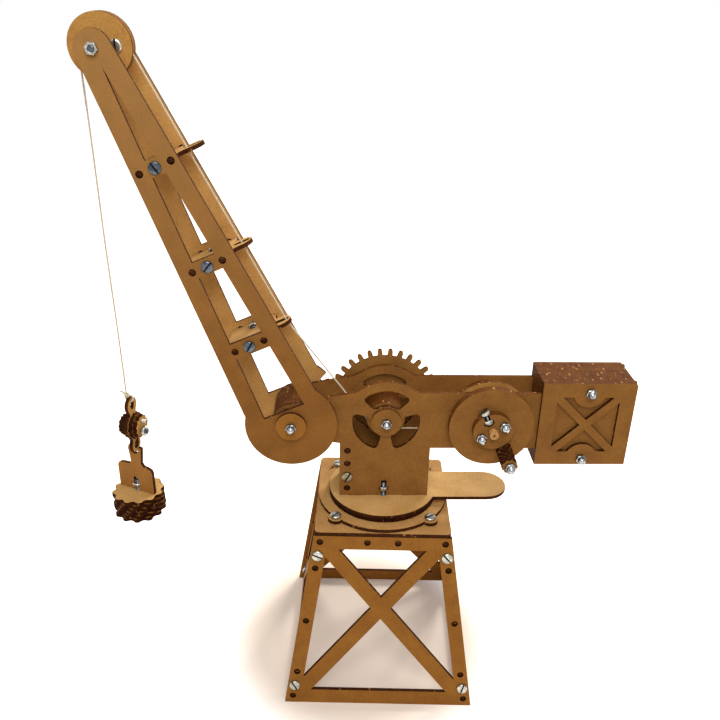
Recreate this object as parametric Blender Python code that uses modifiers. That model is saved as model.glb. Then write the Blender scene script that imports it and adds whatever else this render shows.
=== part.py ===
"""A fibreboard crane: braced tower, slewing turret, geared luffing jib, winch and hanging load.

Sizes are in millimetres, measured from the middle of the tower's top plate, X to the
counterweight, Y away from the front and Z up. The model is shifted at the end, so that its
lowest middle point is the origin, and it is written in metres.
"""

import math

import bmesh
import bpy
from mathutils import Matrix, Vector

MM = 0.001

# Board and fits
PITCH = 3.0
GAP = 0.3
SHEET = PITCH - GAP
BOLT_R = 2.0
BOLT_HOLE_R = 2.3
NUT_BORE_R = 2.5
NUB_HOLE_R = 2.55
NUB_SIDE = 3.4
WASHER_R = 11.0

# Tower
TOWER_HEIGHT = 147.5
DECK_SIDE = 100.0
DECK_CORNER = 4.0
FOOT_SIDE = 145.0
SIDE_INSET = 3.8
RAIL = 11.0
BRACE = 11.5
BRACE_DEG = 51.1
BRACE_CROSSING = 63.2
TOP_RAIL_EDGE = 13.8
FOOT_RAIL_EDGE = 137.3
NUB_LEVELS = (8.2, 30.0, 75.4, 121.0, 143.1)
SCREW_LEVELS = (19.1, 132.9)
SHELF_LEVEL = 8.1
SHELF_NUB_X = 11.2
SLEW_REST_DEG = -2.06

# Turntable
RING_R = 49.5
RING_BORE_R = 36.0
RING_SCREW_R = 49.4
EAR_R = 5.8
ROTOR_R = 35.6
DISC_R = 41.0
HANDLE_HALF = 17.0
HANDLE_REACH = 96.0

# Turret
AXIS_Z = 73.7
LEG_HALF = 33.3
LEG_BOTTOM = 9.15
ARM_LOW = 50.9
ARM_HIGH = 96.7
ARM_LOW_LEFT = 55.0
BUMP_R = 31.6
ARM_TIP_R = 13.5
SLOT_IN_R = 11.9
SLOT_OUT_R = 24.7
SLOT_HALF_DEG = 45.0
WALL_X = -27.8
WALL_NUBS = (48.4, 37.3, 15.4)
WALL_SCREW = 25.8
FOOT_NUB_X = 20.0
FOOT_NUB_HALF = 6.3

# Jib, given along its own length and to its right
PIVOT_X = -68.5
JIB_LENGTH = 273.0
JIB_REST_DEG = 113.6
JIB_DISC_R = 33.0
JIB_HEAD_R = 11.0
JIB_TAPER = 0.065
JIB_HALF_AT_HEAD = 11.0
JIB_WINDOWS = ((11.8, 62.2), (73.8, 124.8), (135.6, 193.8))
JIB_TOP_WINDOW = (205.0, 262.0)
WINDOW_HALF_AT_TOP = 3.95
WINDOW_TAPER = 0.0608
EYE_LEVELS = (67.7, 129.7, 199.0)
EYE_NUB_W = 10.9
EYE_TIP_W = 30.2
JIB_INNER_Y = 17.85

# Gears
GEAR_TEETH = 32
SECTOR_TEETH = 24
GEAR_TIP_R = 42.0
GEAR_ROOT_R = 36.4
SECTOR_TIP_R = 31.6
SECTOR_ROOT_R = 26.0
TOOTH_HALF = 1.62
SECTOR_FIRST_DEG = -75.0
SECTOR_LAST_DEG = 30.0

# Pulleys, winch and string
STRING_R = 0.5
STRING_BEND_R = 14.5
DRUM_R = 13.8
PULLEY_R = 19.2
PULLEY_CORE_R = 13.3
HEAD_BEND_R = 14.0
WINCH_X = 75.4
DOWEL_R = 3.2
DOWEL_HOLE_R = 3.45
CRANK_R = 30.7
WINCH_FLANGE_R = 30.5
WINCH_BACK_R = 20.0
HUB_R = 14.2
KNOB_X = 10.2
KNOB_Z = -17.5
KNOB_R = 5.5
KNOB_LAYERS = 8

# Counterweight
BLOCK_LEFT = 111.2
BLOCK_RIGHT = 179.0
BLOCK_LOW = 38.8
BLOCK_HIGH = 106.4
BLOCK_BOLT_X = 145.4
BLOCK_BOLT_Z = (99.2, 44.4)
FRAME_RAIL = 11.2
FRAME_BOSS_R = 12.0
FRAME_BRACE = 6.4

# Hook and load
FALL_TOP_X = -191.8
HOOK_X = -187.0
HOOK_Z = 61.5
HOOK_R = 10.3
HOOK_YAW_DEG = -15.0
HOOK_BOARDS = (("left", (7.3, 8.7)), ("right", (9.5, 8.2)))
HOOK_EYE_Z = 78.2
HOOK_EYE_R = 6.4
LINK_Z = 45.0
LINK_IN_R = 3.3
LINK_OUT_R = 6.0
LINK_SEAT = 2.5
LOAD_X = -188.7
LOAD_TOP = 4.4
LOAD_R = 18.9
LOAD_LAYERS = 6
LOAD_PLATE_HALF = 16.0
LOAD_PLATE_TOP = 26.5
LOAD_YAW_DEG = -26.0

WOOD = (0.45, 0.27, 0.12, 1.0)
EDGE_WOOD = (0.16, 0.08, 0.04, 1.0)
METAL = (0.72, 0.72, 0.70, 1.0)
TWINE = (0.72, 0.62, 0.45, 1.0)
DOWEL = (0.72, 0.52, 0.30, 1.0)

MODEL = bpy.data.collections.new("crane_model")
HELPERS = bpy.data.collections.new("crane_helpers")


def clear_scene():
    """Removes every object that is there at the start."""
    for found in list(bpy.data.objects):
        bpy.data.objects.remove(found, do_unlink=True)
    bpy.context.scene.collection.children.link(MODEL)
    bpy.context.scene.collection.children.link(HELPERS)
    HELPERS.hide_render = True


def polar(cx, cy, radius, degrees):
    """A point at an angle around a centre."""
    turn = math.radians(degrees)
    return (cx + radius * math.cos(turn), cy + radius * math.sin(turn))


def arc(cx, cy, radius, start, end, count):
    """Points along an arc, both ends included."""
    step = (end - start) / count
    return [polar(cx, cy, radius, start + step * k) for k in range(count + 1)]


def circle(cx, cy, radius, count):
    """A closed ring of points."""
    return [polar(cx, cy, radius, 360.0 * k / count) for k in range(count)]


def hole(cx, cy, radius=BOLT_HOLE_R):
    """A small drilled hole."""
    return circle(cx, cy, radius, 12)


def rectangle(x0, y0, x1, y1):
    """A closed rectangle."""
    return [(x0, y0), (x1, y0), (x1, y1), (x0, y1)]


def tangent(px, py, cx, cy, radius, side):
    """Where a line from a point touches a circle, on the side asked for."""
    dx, dy = px - cx, py - cy
    turn = math.atan2(dy, dx) + side * math.acos(radius / math.hypot(dx, dy))
    return math.degrees(turn)


def rounded(points, radius, steps=3):
    """The outline with each corner rounded."""
    done = []
    count = len(points)
    for k in range(count):
        here = Vector(points[k])
        before = Vector(points[k - 1]) - here
        after = Vector(points[(k + 1) % count]) - here
        half = before.angle(after) / 2
        reach = min(radius / math.tan(half), before.length * 0.45, after.length * 0.45)
        start = here + before.normalized() * reach
        end = here + after.normalized() * reach
        for j in range(steps + 1):
            t = j / steps
            done.append(tuple((1 - t) ** 2 * start + 2 * t * (1 - t) * here + t * t * end))
    return done


def wavy(radius, depth, lobes, turn, per_lobe=4):
    """A disc's outline with a scalloped rim."""
    count = lobes * per_lobe
    points = []
    for k in range(count):
        swing = depth * math.cos(2 * math.pi * k / per_lobe)
        points.append(polar(0, 0, radius + swing, turn + 360.0 * k / count))
    return points


def tooth(degrees, root, tip, half):
    """One finger-shaped tooth, from its right foot over the tip to its left foot."""
    points = []
    foot = math.degrees(math.asin((half + 0.25) / root))
    points.append(polar(0, 0, root, degrees - foot))
    shoulder = tip - half
    for k in range(5):
        swing = math.radians(-90 + 45 * k)
        out = shoulder + half * math.cos(swing)
        aside = half * math.sin(swing)
        turn = degrees + math.degrees(math.atan2(aside, out))
        points.append(polar(0, 0, math.hypot(out, aside), turn))
    points.append(polar(0, 0, root, degrees + foot))
    return points


def close_mesh(mesh):
    """Joins doubled points and turns every face outwards."""
    work = bmesh.new()
    work.from_mesh(mesh)
    bmesh.ops.remove_doubles(work, verts=work.verts, dist=0.000002)
    bmesh.ops.recalc_face_normals(work, faces=work.faces)
    work.to_mesh(mesh)
    work.free()
    return mesh


def evaluated_mesh(helper):
    """The finished mesh of a helper object, which is then removed."""
    bpy.context.view_layer.update()
    graph = bpy.context.evaluated_depsgraph_get()
    mesh = bpy.data.meshes.new_from_object(helper.evaluated_get(graph))
    bpy.data.objects.remove(helper, do_unlink=True)
    return close_mesh(mesh)


def sheet_mesh(outlines, depth=SHEET, level=0.0):
    """A flat board with holes, cut from nested outlines."""
    curve = bpy.data.curves.new("outline", "CURVE")
    curve.dimensions = "2D"
    curve.fill_mode = "BOTH"
    curve.extrude = depth / 2 * MM
    for outline in outlines:
        spline = curve.splines.new("POLY")
        spline.points.add(len(outline) - 1)
        for point, (x, y) in zip(spline.points, outline):
            point.co = (x * MM, y * MM, 0.0, 1.0)
        spline.use_cyclic_u = True
    helper = bpy.data.objects.new("outline", curve)
    HELPERS.objects.link(helper)
    mesh = evaluated_mesh(helper)
    mesh.transform(Matrix.Translation((0, 0, level * MM)))
    return mesh


def joined_mesh(meshes):
    """Several separate meshes as one."""
    work = bmesh.new()
    for mesh in meshes:
        work.from_mesh(mesh)
    result = bpy.data.meshes.new("joined")
    work.to_mesh(result)
    work.free()
    return result


def boolean_mesh(first, second, operation):
    """An exact union or difference of two meshes."""
    body = bpy.data.objects.new("body", first)
    tool = bpy.data.objects.new("tool", second)
    tool.display_type = "WIRE"
    tool.hide_render = True
    HELPERS.objects.link(body)
    HELPERS.objects.link(tool)
    modifier = body.modifiers.new("join", "BOOLEAN")
    modifier.operation = operation
    modifier.solver = "EXACT"
    modifier.object = tool
    mesh = evaluated_mesh(body)
    bpy.data.objects.remove(tool, do_unlink=True)
    return mesh


def cut_bores(mesh, bores, depth):
    """Drills round holes, each a centre and a radius, right through a mesh."""
    for x, y, radius in bores:
        mesh = boolean_mesh(mesh, sheet_mesh([hole(x, y, radius)], depth + 4.0), "DIFFERENCE")
    return mesh


def grooved_mesh(outlines, inner, reach, count):
    """Equal boards glued in register, with a fine groove where each two meet."""
    mesh = sheet_mesh(outlines, count * PITCH - GAP)
    around = rectangle(-reach, -reach, reach, reach)
    rings = []
    for k in range(1, count):
        rings.append(sheet_mesh([around, inner], GAP, (k - count / 2) * PITCH))
    return boolean_mesh(mesh, joined_mesh(rings), "DIFFERENCE")


def shuffled_mesh(layers, core_r, bore_r=0.0):
    """Scalloped boards glued out of register around a plain core."""
    count = len(layers)
    boards = []
    for k, outline in enumerate(layers):
        boards.append(sheet_mesh([outline], SHEET, (k - (count - 1) / 2) * PITCH))
    inner = sheet_mesh([circle(0, 0, core_r, 12)], count * PITCH - GAP - 1.0)
    mesh = boolean_mesh(joined_mesh(boards), inner, "UNION")
    if bore_r:
        mesh = cut_bores(mesh, [(0, 0, bore_r)], count * PITCH)
    return mesh


def turned_mesh(profile, steps=20):
    """A turned solid. The profile holds radius and height, from axis to axis."""
    mesh = bpy.data.meshes.new("profile")
    points = [(r * MM, 0.0, h * MM) for r, h in profile]
    mesh.from_pydata(points, [(k, k + 1) for k in range(len(points) - 1)], [])
    helper = bpy.data.objects.new("profile", mesh)
    HELPERS.objects.link(helper)
    screw = helper.modifiers.new("turn", "SCREW")
    screw.angle = 2 * math.pi
    screw.steps = steps
    screw.render_steps = steps
    screw.use_merge_vertices = True
    screw.merge_threshold = 0.00001
    return evaluated_mesh(helper)


def tube_mesh(points, radius):
    """A round cord along a path, with closed ends."""
    curve = bpy.data.curves.new("cord", "CURVE")
    curve.dimensions = "3D"
    curve.bevel_depth = radius * MM
    curve.bevel_resolution = 2
    curve.use_fill_caps = True
    spline = curve.splines.new("POLY")
    spline.points.add(len(points) - 1)
    for point, (x, y, z) in zip(spline.points, points):
        point.co = (x * MM, y * MM, z * MM, 1.0)
    helper = bpy.data.objects.new("cord", curve)
    HELPERS.objects.link(helper)
    return evaluated_mesh(helper)


def surface(name, colour, roughness, metallic):
    """One plain material."""
    made = bpy.data.materials.new(name + "_surface")
    made.use_nodes = True
    shader = made.node_tree.nodes["Principled BSDF"]
    shader.inputs["Base Color"].default_value = colour
    shader.inputs["Roughness"].default_value = roughness
    shader.inputs["Metallic"].default_value = metallic
    return made


def frame_at(name, parent, place=(0.0, 0.0, 0.0), turn=(0.0, 0.0, 0.0)):
    """An empty that carries one moving body."""
    empty = bpy.data.objects.new(name, None)
    MODEL.objects.link(empty)
    empty.parent = parent
    empty.location = Vector(place) * MM
    empty.rotation_euler = [math.radians(angle) for angle in turn]
    return empty


def piece(name, mesh, parent, place=(0.0, 0.0, 0.0), turn=(0.0, 0.0, 0.0), look="wood"):
    """One named piece of the crane."""
    looks = {
        "wood": (WOOD, 0.7, 0.0),
        "edge": (EDGE_WOOD, 0.8, 0.0),
        "metal": (METAL, 0.3, 1.0),
        "twine": (TWINE, 0.9, 0.0),
        "dowel": (DOWEL, 0.6, 0.0),
    }
    mesh.name = name
    mesh.materials.clear()
    mesh.materials.append(surface(name, *looks[look]))
    mesh.shade_smooth()
    mesh.set_sharp_from_angle(angle=math.radians(40))
    made = bpy.data.objects.new(name, mesh)
    MODEL.objects.link(made)
    made.parent = parent
    made.location = Vector(place) * MM
    made.rotation_euler = [math.radians(angle) for angle in turn]
    return made


UPRIGHT = (90.0, 0.0, 0.0)


def lean():
    """The tower panels' lean from the vertical, in radians."""
    return math.atan2((FOOT_SIDE - DECK_SIDE) / 2, TOWER_HEIGHT)


def panel_half(level):
    """Half the tower's outer width at a distance down a panel's slope."""
    return DECK_SIDE / 2 + level * math.sin(lean())


def panel_depth():
    """A leaning board's thickness, measured level."""
    return PITCH / math.cos(lean())


def panel_windows(rail_from):
    """The four openings between the rails and the two crossed braces of a panel."""
    slope = math.tan(math.radians(BRACE_DEG))
    up = BRACE / 2 / math.cos(math.radians(BRACE_DEG))
    aside = BRACE / 2 / math.sin(math.radians(BRACE_DEG))
    grow = math.sin(lean())
    top = BRACE_CROSSING - up
    low = BRACE_CROSSING + up
    top_x = (top - TOP_RAIL_EDGE) / slope
    low_x = (FOOT_RAIL_EDGE - low) / slope
    start = rail_from - RAIL
    high = (BRACE_CROSSING - slope * (start - aside)) / (1 + slope * grow)
    deep = (BRACE_CROSSING + slope * (start - aside)) / (1 - slope * grow)
    side = [(aside, BRACE_CROSSING), (start + high * grow, high), (start + deep * grow, deep)]
    return [
        [(-top_x, TOP_RAIL_EDGE), (top_x, TOP_RAIL_EDGE), (0.0, top)],
        [(-low_x, FOOT_RAIL_EDGE), (low_x, FOOT_RAIL_EDGE), (0.0, low)],
        side,
        [(-x, s) for x, s in side],
    ]


def leaning(mesh, out):
    """Stands a flat panel on its foot, leaning back, its outer face at a distance out."""
    tilt = lean()
    flat_to_lean = Matrix(
        (
            (1.0, 0.0, 0.0, 0.0),
            (0.0, -math.sin(tilt), 1.0, (-out + panel_depth() / 2) * MM),
            (0.0, -math.cos(tilt), 0.0, 0.0),
            (0.0, 0.0, 0.0, 1.0),
        )
    )
    mesh.transform(flat_to_lean)
    return close_mesh(mesh)


def tee_slot(depth, half=2.1, nut_start=4.4, nut_end=7.8, nut_half=3.7):
    """The steps of a bolt's slot with its nut pocket, as inset and rise from the slot's line."""
    return [
        (0.0, -half),
        (nut_start, -half),
        (nut_start, -nut_half),
        (nut_end, -nut_half),
        (nut_end, -half),
        (depth, -half),
        (depth, half),
        (nut_end, half),
        (nut_end, nut_half),
        (nut_start, nut_half),
        (nut_start, half),
        (0.0, half),
    ]


def tower_ends():
    """How far down its slope a panel starts and ends."""
    start = (PITCH + GAP / 2) / math.cos(lean())
    return start, TOWER_HEIGHT / math.cos(lean())


def front_panel_outlines():
    """The full-width panel, with its windows, nub holes and screw holes."""
    start, end = tower_ends()
    outer = [
        (-panel_half(start), start),
        (panel_half(start), start),
        (panel_half(end), end),
        (-panel_half(end), end),
    ]
    outlines = [outer] + panel_windows(DECK_SIDE / 2)
    inset = SIDE_INSET + panel_depth() / 2
    for side in (-1, 1):
        for level in NUB_LEVELS:
            outlines.append(hole(side * (panel_half(level) - inset), level, NUB_HOLE_R))
        for level in SCREW_LEVELS:
            outlines.append(hole(side * (panel_half(level) - inset), level))
        outlines.append(hole(side * SHELF_NUB_X, SHELF_LEVEL, NUB_HOLE_R))
    return outlines


def side_panel_outlines():
    """The panel held between the two wide ones, with nubs and bolt slots on its edges."""
    start, end = tower_ends()

    def edge(level):
        return panel_half(level) - panel_depth() - GAP

    right = [(edge(start), start)]
    features = [(level, "nub") for level in NUB_LEVELS] + [(level, "slot") for level in SCREW_LEVELS]
    for level, kind in sorted(features):
        if kind == "nub":
            reach = panel_half(level) - GAP - 0.4
            right.append((edge(level - NUB_SIDE / 2), level - NUB_SIDE / 2))
            right.append((reach, level - NUB_SIDE / 2))
            right.append((reach, level + NUB_SIDE / 2))
            right.append((edge(level + NUB_SIDE / 2), level + NUB_SIDE / 2))
        else:
            for inset, rise in tee_slot(10.0):
                right.append((edge(level + rise) - inset, level + rise))
    right.append((edge(end), end))
    left = [(-x, s) for x, s in reversed(right)]
    return [right + left] + panel_windows(DECK_SIDE / 2 - panel_depth() - GAP)


def build_tower(root):
    """The fixed stand: four leaning panels, a shelf, the top plate, the ring and the pivot."""
    tower = frame_at("tower_frame", root, turn=(0, 0, SLEW_REST_DEG))
    depth = panel_depth() - GAP
    half = DECK_SIDE / 2
    for name, turn in (("front", 0.0), ("back", 180.0)):
        mesh = leaning(sheet_mesh(front_panel_outlines(), depth), half)
        piece(f"tower_{name}_panel", mesh, tower, turn=(0, 0, turn))
    for name, turn in (("left", -90.0), ("right", 90.0)):
        mesh = leaning(sheet_mesh(side_panel_outlines(), depth), half - SIDE_INSET)
        piece(f"tower_{name}_panel", mesh, tower, turn=(0, 0, turn))

    shelf_y = half + SHELF_LEVEL * math.sin(lean()) - panel_depth() - GAP - 0.4
    shelf_x = shelf_y - SIDE_INSET
    reach = half + SHELF_LEVEL * math.sin(lean()) - GAP - 0.4
    shelf = [(shelf_x, -shelf_y), (shelf_x, shelf_y)]
    for x in (SHELF_NUB_X, -SHELF_NUB_X):
        for step, y in ((1, shelf_y), (1, reach), (-1, reach), (-1, shelf_y)):
            shelf.append((x + step * NUB_SIDE / 2, y))
    shelf += [(-x, -y) for x, y in shelf]
    spots = [polar(0, 0, RING_SCREW_R, 45 + 90 * k) for k in range(4)]
    drilled = [hole(0, 0)] + [hole(x, y) for x, y in spots]
    level = -SHELF_LEVEL * math.cos(lean())
    piece("tower_shelf_plate", sheet_mesh([shelf] + drilled), tower, (0, 0, level))

    deck = rounded(rectangle(-half, -half, half, half), DECK_CORNER, 4)
    piece("tower_top_plate", sheet_mesh([deck] + drilled), tower, (0, 0, -PITCH / 2))

    ring = []
    meet = math.degrees(
        math.acos((RING_R**2 + RING_SCREW_R**2 - EAR_R**2) / (2 * RING_R * RING_SCREW_R))
    )
    for k in range(4):
        middle = 45 + 90 * k
        cx, cy = polar(0, 0, RING_SCREW_R, middle)
        ring += arc(cx, cy, EAR_R, middle - 97, middle + 97, 8)
        ring += arc(0, 0, RING_R, middle + meet + 2, middle + 90 - meet - 2, 9)
    outlines = [ring, circle(0, 0, RING_BORE_R, 40)] + [hole(x, y) for x, y in spots]
    piece("turntable_ring", sheet_mesh(outlines), tower, (0, 0, PITCH / 2))

    shelf_low = level - SHEET / 2 - GAP
    bolt = [(0, shelf_low - 3), (3.8, shelf_low - 3), (3.8, shelf_low), (BOLT_R, shelf_low)]
    bolt += [(BOLT_R, 16.0), (0, 16.0)]
    piece("slew_pivot_bolt", turned_mesh(bolt, 12), tower, look="metal")
    return tower


def foot_openings():
    """Slots in the turntable boards for the turret plates' feet, and their bolt holes."""
    outlines = []
    for y in (-4.5 * PITCH, 4.5 * PITCH):
        for x in (-FOOT_NUB_X, FOOT_NUB_X):
            wide = FOOT_NUB_HALF + GAP
            outlines.append(rectangle(x - wide, y - PITCH / 2 - 0.15, x + wide, y + PITCH / 2 + 0.15))
        outlines.append(hole(0, y))
    return outlines


def turret_outline():
    """The side plate's outline: leg, both arms, the bump over the axle and the block's panel."""
    steps = [(-LEG_HALF, LEG_BOTTOM)]
    for x in (-FOOT_NUB_X, FOOT_NUB_X):
        if x > 0:
            for inset, rise in tee_slot(13.0):
                steps.append((rise, LEG_BOTTOM + inset))
        steps += [(x - FOOT_NUB_HALF, LEG_BOTTOM), (x - FOOT_NUB_HALF, 0.3)]
        steps += [(x + FOOT_NUB_HALF, 0.3), (x + FOOT_NUB_HALF, LEG_BOTTOM)]
    steps += [(LEG_HALF, LEG_BOTTOM), (LEG_HALF, ARM_LOW), (BLOCK_LEFT, ARM_LOW)]
    steps += [(BLOCK_LEFT, BLOCK_LOW), (BLOCK_RIGHT, BLOCK_LOW), (BLOCK_RIGHT, BLOCK_HIGH)]
    steps += [(BLOCK_LEFT, BLOCK_HIGH), (BLOCK_LEFT, ARM_HIGH), (22.4, ARM_HIGH)]
    rise = math.degrees(math.asin((ARM_HIGH - AXIS_Z) / BUMP_R))
    steps += arc(0, AXIS_Z, BUMP_R, rise + 4, 180 - rise - 4, 8)
    steps.append((-22.4, ARM_HIGH))
    high = tangent(-22.4, ARM_HIGH, PIVOT_X, AXIS_Z, ARM_TIP_R, 1)
    low = tangent(-LEG_HALF, ARM_LOW_LEFT, PIVOT_X, AXIS_Z, ARM_TIP_R, -1)
    steps += arc(PIVOT_X, AXIS_Z, ARM_TIP_R, high, low + 360, 12)
    steps.append((-LEG_HALF, ARM_LOW_LEFT))
    return steps


def lobe_slot(middle):
    """One rounded slot around the middle axle."""
    low, high = middle - SLOT_HALF_DEG, middle + SLOT_HALF_DEG
    ease = 5.0
    points = arc(0, AXIS_Z, SLOT_OUT_R, low + ease, high - ease, 8)
    points.append(polar(0, AXIS_Z, SLOT_OUT_R - 2.2, high))
    points.append(polar(0, AXIS_Z, SLOT_IN_R + 2.2, high))
    points += arc(0, AXIS_Z, SLOT_IN_R, high - 2 * ease, low + 2 * ease, 6)
    points.append(polar(0, AXIS_Z, SLOT_IN_R + 2.2, low))
    points.append(polar(0, AXIS_Z, SLOT_OUT_R - 2.2, low))
    return points


def turret_plate_outlines():
    """The side plate with its slots and holes."""
    outlines = [turret_outline()] + [lobe_slot(middle) for middle in (90, 210, 330)]
    outlines += [hole(0, AXIS_Z), hole(PIVOT_X, AXIS_Z), circle(WINCH_X, AXIS_Z, DOWEL_HOLE_R, 16)]
    outlines += [hole(BLOCK_BOLT_X, z) for z in BLOCK_BOLT_Z]
    outlines += [hole(WALL_X, z, NUB_HOLE_R) for z in WALL_NUBS] + [hole(WALL_X, WALL_SCREW)]
    return outlines


def wall_outline():
    """The cross wall between the side plates, with nubs and bolt slots on both edges."""
    edge = 4 * PITCH - GAP / 2 - 0.15
    right = [(edge, 51.0)]
    for z in sorted(WALL_NUBS + (WALL_SCREW,), reverse=True):
        if z == WALL_SCREW:
            right += [(edge - inset, z - rise) for inset, rise in tee_slot(9.0)]
        else:
            reach = edge + PITCH
            right += [(edge, z + NUB_SIDE / 2), (reach, z + NUB_SIDE / 2)]
            right += [(reach, z - NUB_SIDE / 2), (edge, z - NUB_SIDE / 2)]
    right.append((edge, LEG_BOTTOM))
    return right + [(-y, z) for y, z in reversed(right)]


def block_outline():
    """The counterweight's outline, one corner clipped."""
    return [
        (BLOCK_LEFT, BLOCK_LOW),
        (BLOCK_RIGHT, BLOCK_LOW),
        (BLOCK_RIGHT, BLOCK_HIGH - 1.5),
        (BLOCK_RIGHT - 1.5, BLOCK_HIGH),
        (BLOCK_LEFT, BLOCK_HIGH),
    ]


def block_frame_outlines():
    """The crossed frame on each side of the counterweight."""
    cx = (BLOCK_LEFT + BLOCK_RIGHT) / 2
    cz = (BLOCK_LOW + BLOCK_HIGH) / 2
    wide = (BLOCK_RIGHT - BLOCK_LEFT) / 2 - FRAME_RAIL
    tall = (BLOCK_HIGH - BLOCK_LOW) / 2 - FRAME_RAIL
    near = FRAME_BRACE / 2 / math.sin(math.radians(45))
    outlines = [block_outline()]
    for side in (-1, 1):
        points = [(side * near, 0.0), (side * wide, wide - near), (side * wide, near - wide)]
        outlines.append([(cx + x, cz + z) for x, z in points])
        bolt = BLOCK_BOLT_Z[0] if side > 0 else BLOCK_BOLT_Z[1]
        rise = bolt - (cz + side * tall)
        bend = math.degrees(math.acos(min(0.99, abs(rise) / FRAME_BOSS_R)))
        middle = -90 * side
        boss = arc(BLOCK_BOLT_X, bolt, FRAME_BOSS_R, middle - bend, middle + bend, 8)
        if side > 0:
            boss.reverse()
        corner = tall - near
        opening = [(cx, cz + side * near), (cx + side * corner, cz + side * tall)]
        outlines.append(opening + boss + [(cx - side * corner, cz + side * tall)])
    outlines += [hole(BLOCK_BOLT_X, z) for z in BLOCK_BOLT_Z]
    return outlines


def acorn_profile(base):
    """A domed nut that starts at a height and points outwards, bored for its bolt."""
    profile = [(NUT_BORE_R, base), (4.0, base), (4.0, base + 3.2), (3.2, base + 4.6)]
    profile += [(1.8, base + 6.4), (0.0, base + 7.0)]
    return [(0.0, base + 4.4), (NUT_BORE_R, base + 4.4)] + profile


def rod_profile(front, back, radius=BOLT_R):
    """A plain round rod between two heights."""
    return [(0, back), (radius, back), (radius, front), (0, front)]


def washer_mesh(radius, bore=BOLT_HOLE_R, count=24):
    """A cut board washer."""
    return sheet_mesh([circle(0, 0, radius, count), hole(0, 0, bore)])


def build_turret(root):
    """The slewing upper works, up to the counterweight."""
    turret = frame_at("turret_frame", root)
    rotor = [circle(0, 0, ROTOR_R, 40), hole(0, 0)] + foot_openings()
    piece("turntable_rotor", sheet_mesh(rotor), turret, (0, 0, PITCH * 0.5))
    disc = [circle(0, 0, DISC_R, 56), hole(0, 0)] + foot_openings()
    piece("turntable_disc", sheet_mesh(disc), turret, (0, 0, PITCH * 1.5))
    spread = math.degrees(math.asin(HANDLE_HALF / DISC_R))
    handle = arc(0, 0, DISC_R, spread, 360 - spread, 44)
    handle += arc(HANDLE_REACH - HANDLE_HALF, 0, HANDLE_HALF, -90, 90, 12)
    holes = [hole(0, 0)] + foot_openings()
    piece("turntable_handle", sheet_mesh([handle] + holes), turret, (0, 0, PITCH * 2.5))

    for name, y in (("front", -4.5 * PITCH), ("back", 4.5 * PITCH)):
        mesh = sheet_mesh(turret_plate_outlines())
        piece(f"turret_{name}_plate", mesh, turret, (0, y, 0), UPRIGHT)
    wall = piece("turret_cross_wall", sheet_mesh([wall_outline()]), turret, (WALL_X, 0, 0))
    wall.rotation_euler = (math.radians(90), 0, math.radians(90))

    mesh = sheet_mesh([circle(0, 0, ARM_TIP_R, 32), hole(0, 0)], 8 * PITCH - GAP)
    piece("arm_spacer_drum", mesh, turret, (PIVOT_X, 0, AXIS_Z), UPRIGHT)

    axle = rod_profile(21.6, -29.5)
    piece("center_axle", turned_mesh(axle, 12), turret, (0, 0, AXIS_Z), UPRIGHT, "metal")
    mesh = washer_mesh(WASHER_R)
    piece("center_washer_front", mesh, turret, (0, -5.5 * PITCH, AXIS_Z), UPRIGHT)
    nut = turned_mesh(acorn_profile(6 * PITCH), 6)
    piece("center_acorn_nut", nut, turret, (0, 0, AXIS_Z), UPRIGHT, "metal")

    bolt = rod_profile(27.8, -28.5)
    piece("jib_pivot_bolt", turned_mesh(bolt, 12), turret, (PIVOT_X, 0, AXIS_Z), UPRIGHT, "metal")
    nut = turned_mesh(acorn_profile(8 * PITCH + 0.2), 6)
    piece("jib_acorn_nut_front", nut, turret, (PIVOT_X, 0, AXIS_Z), UPRIGHT, "metal")
    for name, y in (("front", -1), ("back", 1)):
        spot = (PIVOT_X, y * 5.5 * PITCH, AXIS_Z)
        piece(f"jib_spacer_{name}", washer_mesh(WASHER_R), turret, spot, UPRIGHT)
        spot = (PIVOT_X, y * 7.5 * PITCH, AXIS_Z)
        piece(f"jib_washer_{name}", washer_mesh(WASHER_R), turret, spot, UPRIGHT)

    bolts = [hole(BLOCK_BOLT_X, z) for z in BLOCK_BOLT_Z]
    inset = 0.7
    inner = rectangle(BLOCK_LEFT + inset, BLOCK_LOW + inset, BLOCK_RIGHT - inset, BLOCK_HIGH - inset)
    mesh = grooved_mesh([block_outline()] + bolts, inner, 200.0, 8)
    piece("counterweight_core", mesh, turret, (0, 0, 0), UPRIGHT)
    for name, y in (("front", -5.5 * PITCH), ("back", 5.5 * PITCH)):
        mesh = sheet_mesh(block_frame_outlines())
        piece(f"counterweight_{name}_frame", mesh, turret, (0, y, 0), UPRIGHT)
    for name, z in zip(("upper", "lower"), BLOCK_BOLT_Z):
        profile = [(0, -21.4), (3.9, -21.4), (3.9, -18.2), (BOLT_R, -18.2)]
        profile += [(BOLT_R, 23.0), (0, 23.0)]
        mesh = turned_mesh(profile, 12)
        place = (BLOCK_BOLT_X, 0, z)
        piece(f"counterweight_bolt_{name}", mesh, turret, place, UPRIGHT, "metal")
    return turret


def build_roller_and_gear(turret):
    """The string's lower roller and the luffing gear, both on the middle axle."""
    roller = frame_at("roller_frame", turret, (0, 0, AXIS_Z))
    mesh = sheet_mesh([circle(0, 0, DRUM_R, 32), hole(0, 0)], 8 * PITCH - GAP)
    piece("center_roller", mesh, roller, turn=UPRIGHT)

    wheel = frame_at("gear_frame", turret, (0, 0, AXIS_Z))
    outline = []
    pitch = 360.0 / GEAR_TEETH
    for k in range(GEAR_TEETH):
        outline += tooth(180 + pitch * (k + 0.5), GEAR_ROOT_R, GEAR_TIP_R, TOOTH_HALF)
    mesh = sheet_mesh([outline, hole(0, 0)])
    piece("luff_gear", mesh, wheel, (0, 6.5 * PITCH, 0), UPRIGHT)
    piece("luff_gear_hub", washer_mesh(14.0), wheel, (0, 7.5 * PITCH, 0), UPRIGHT)


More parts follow.
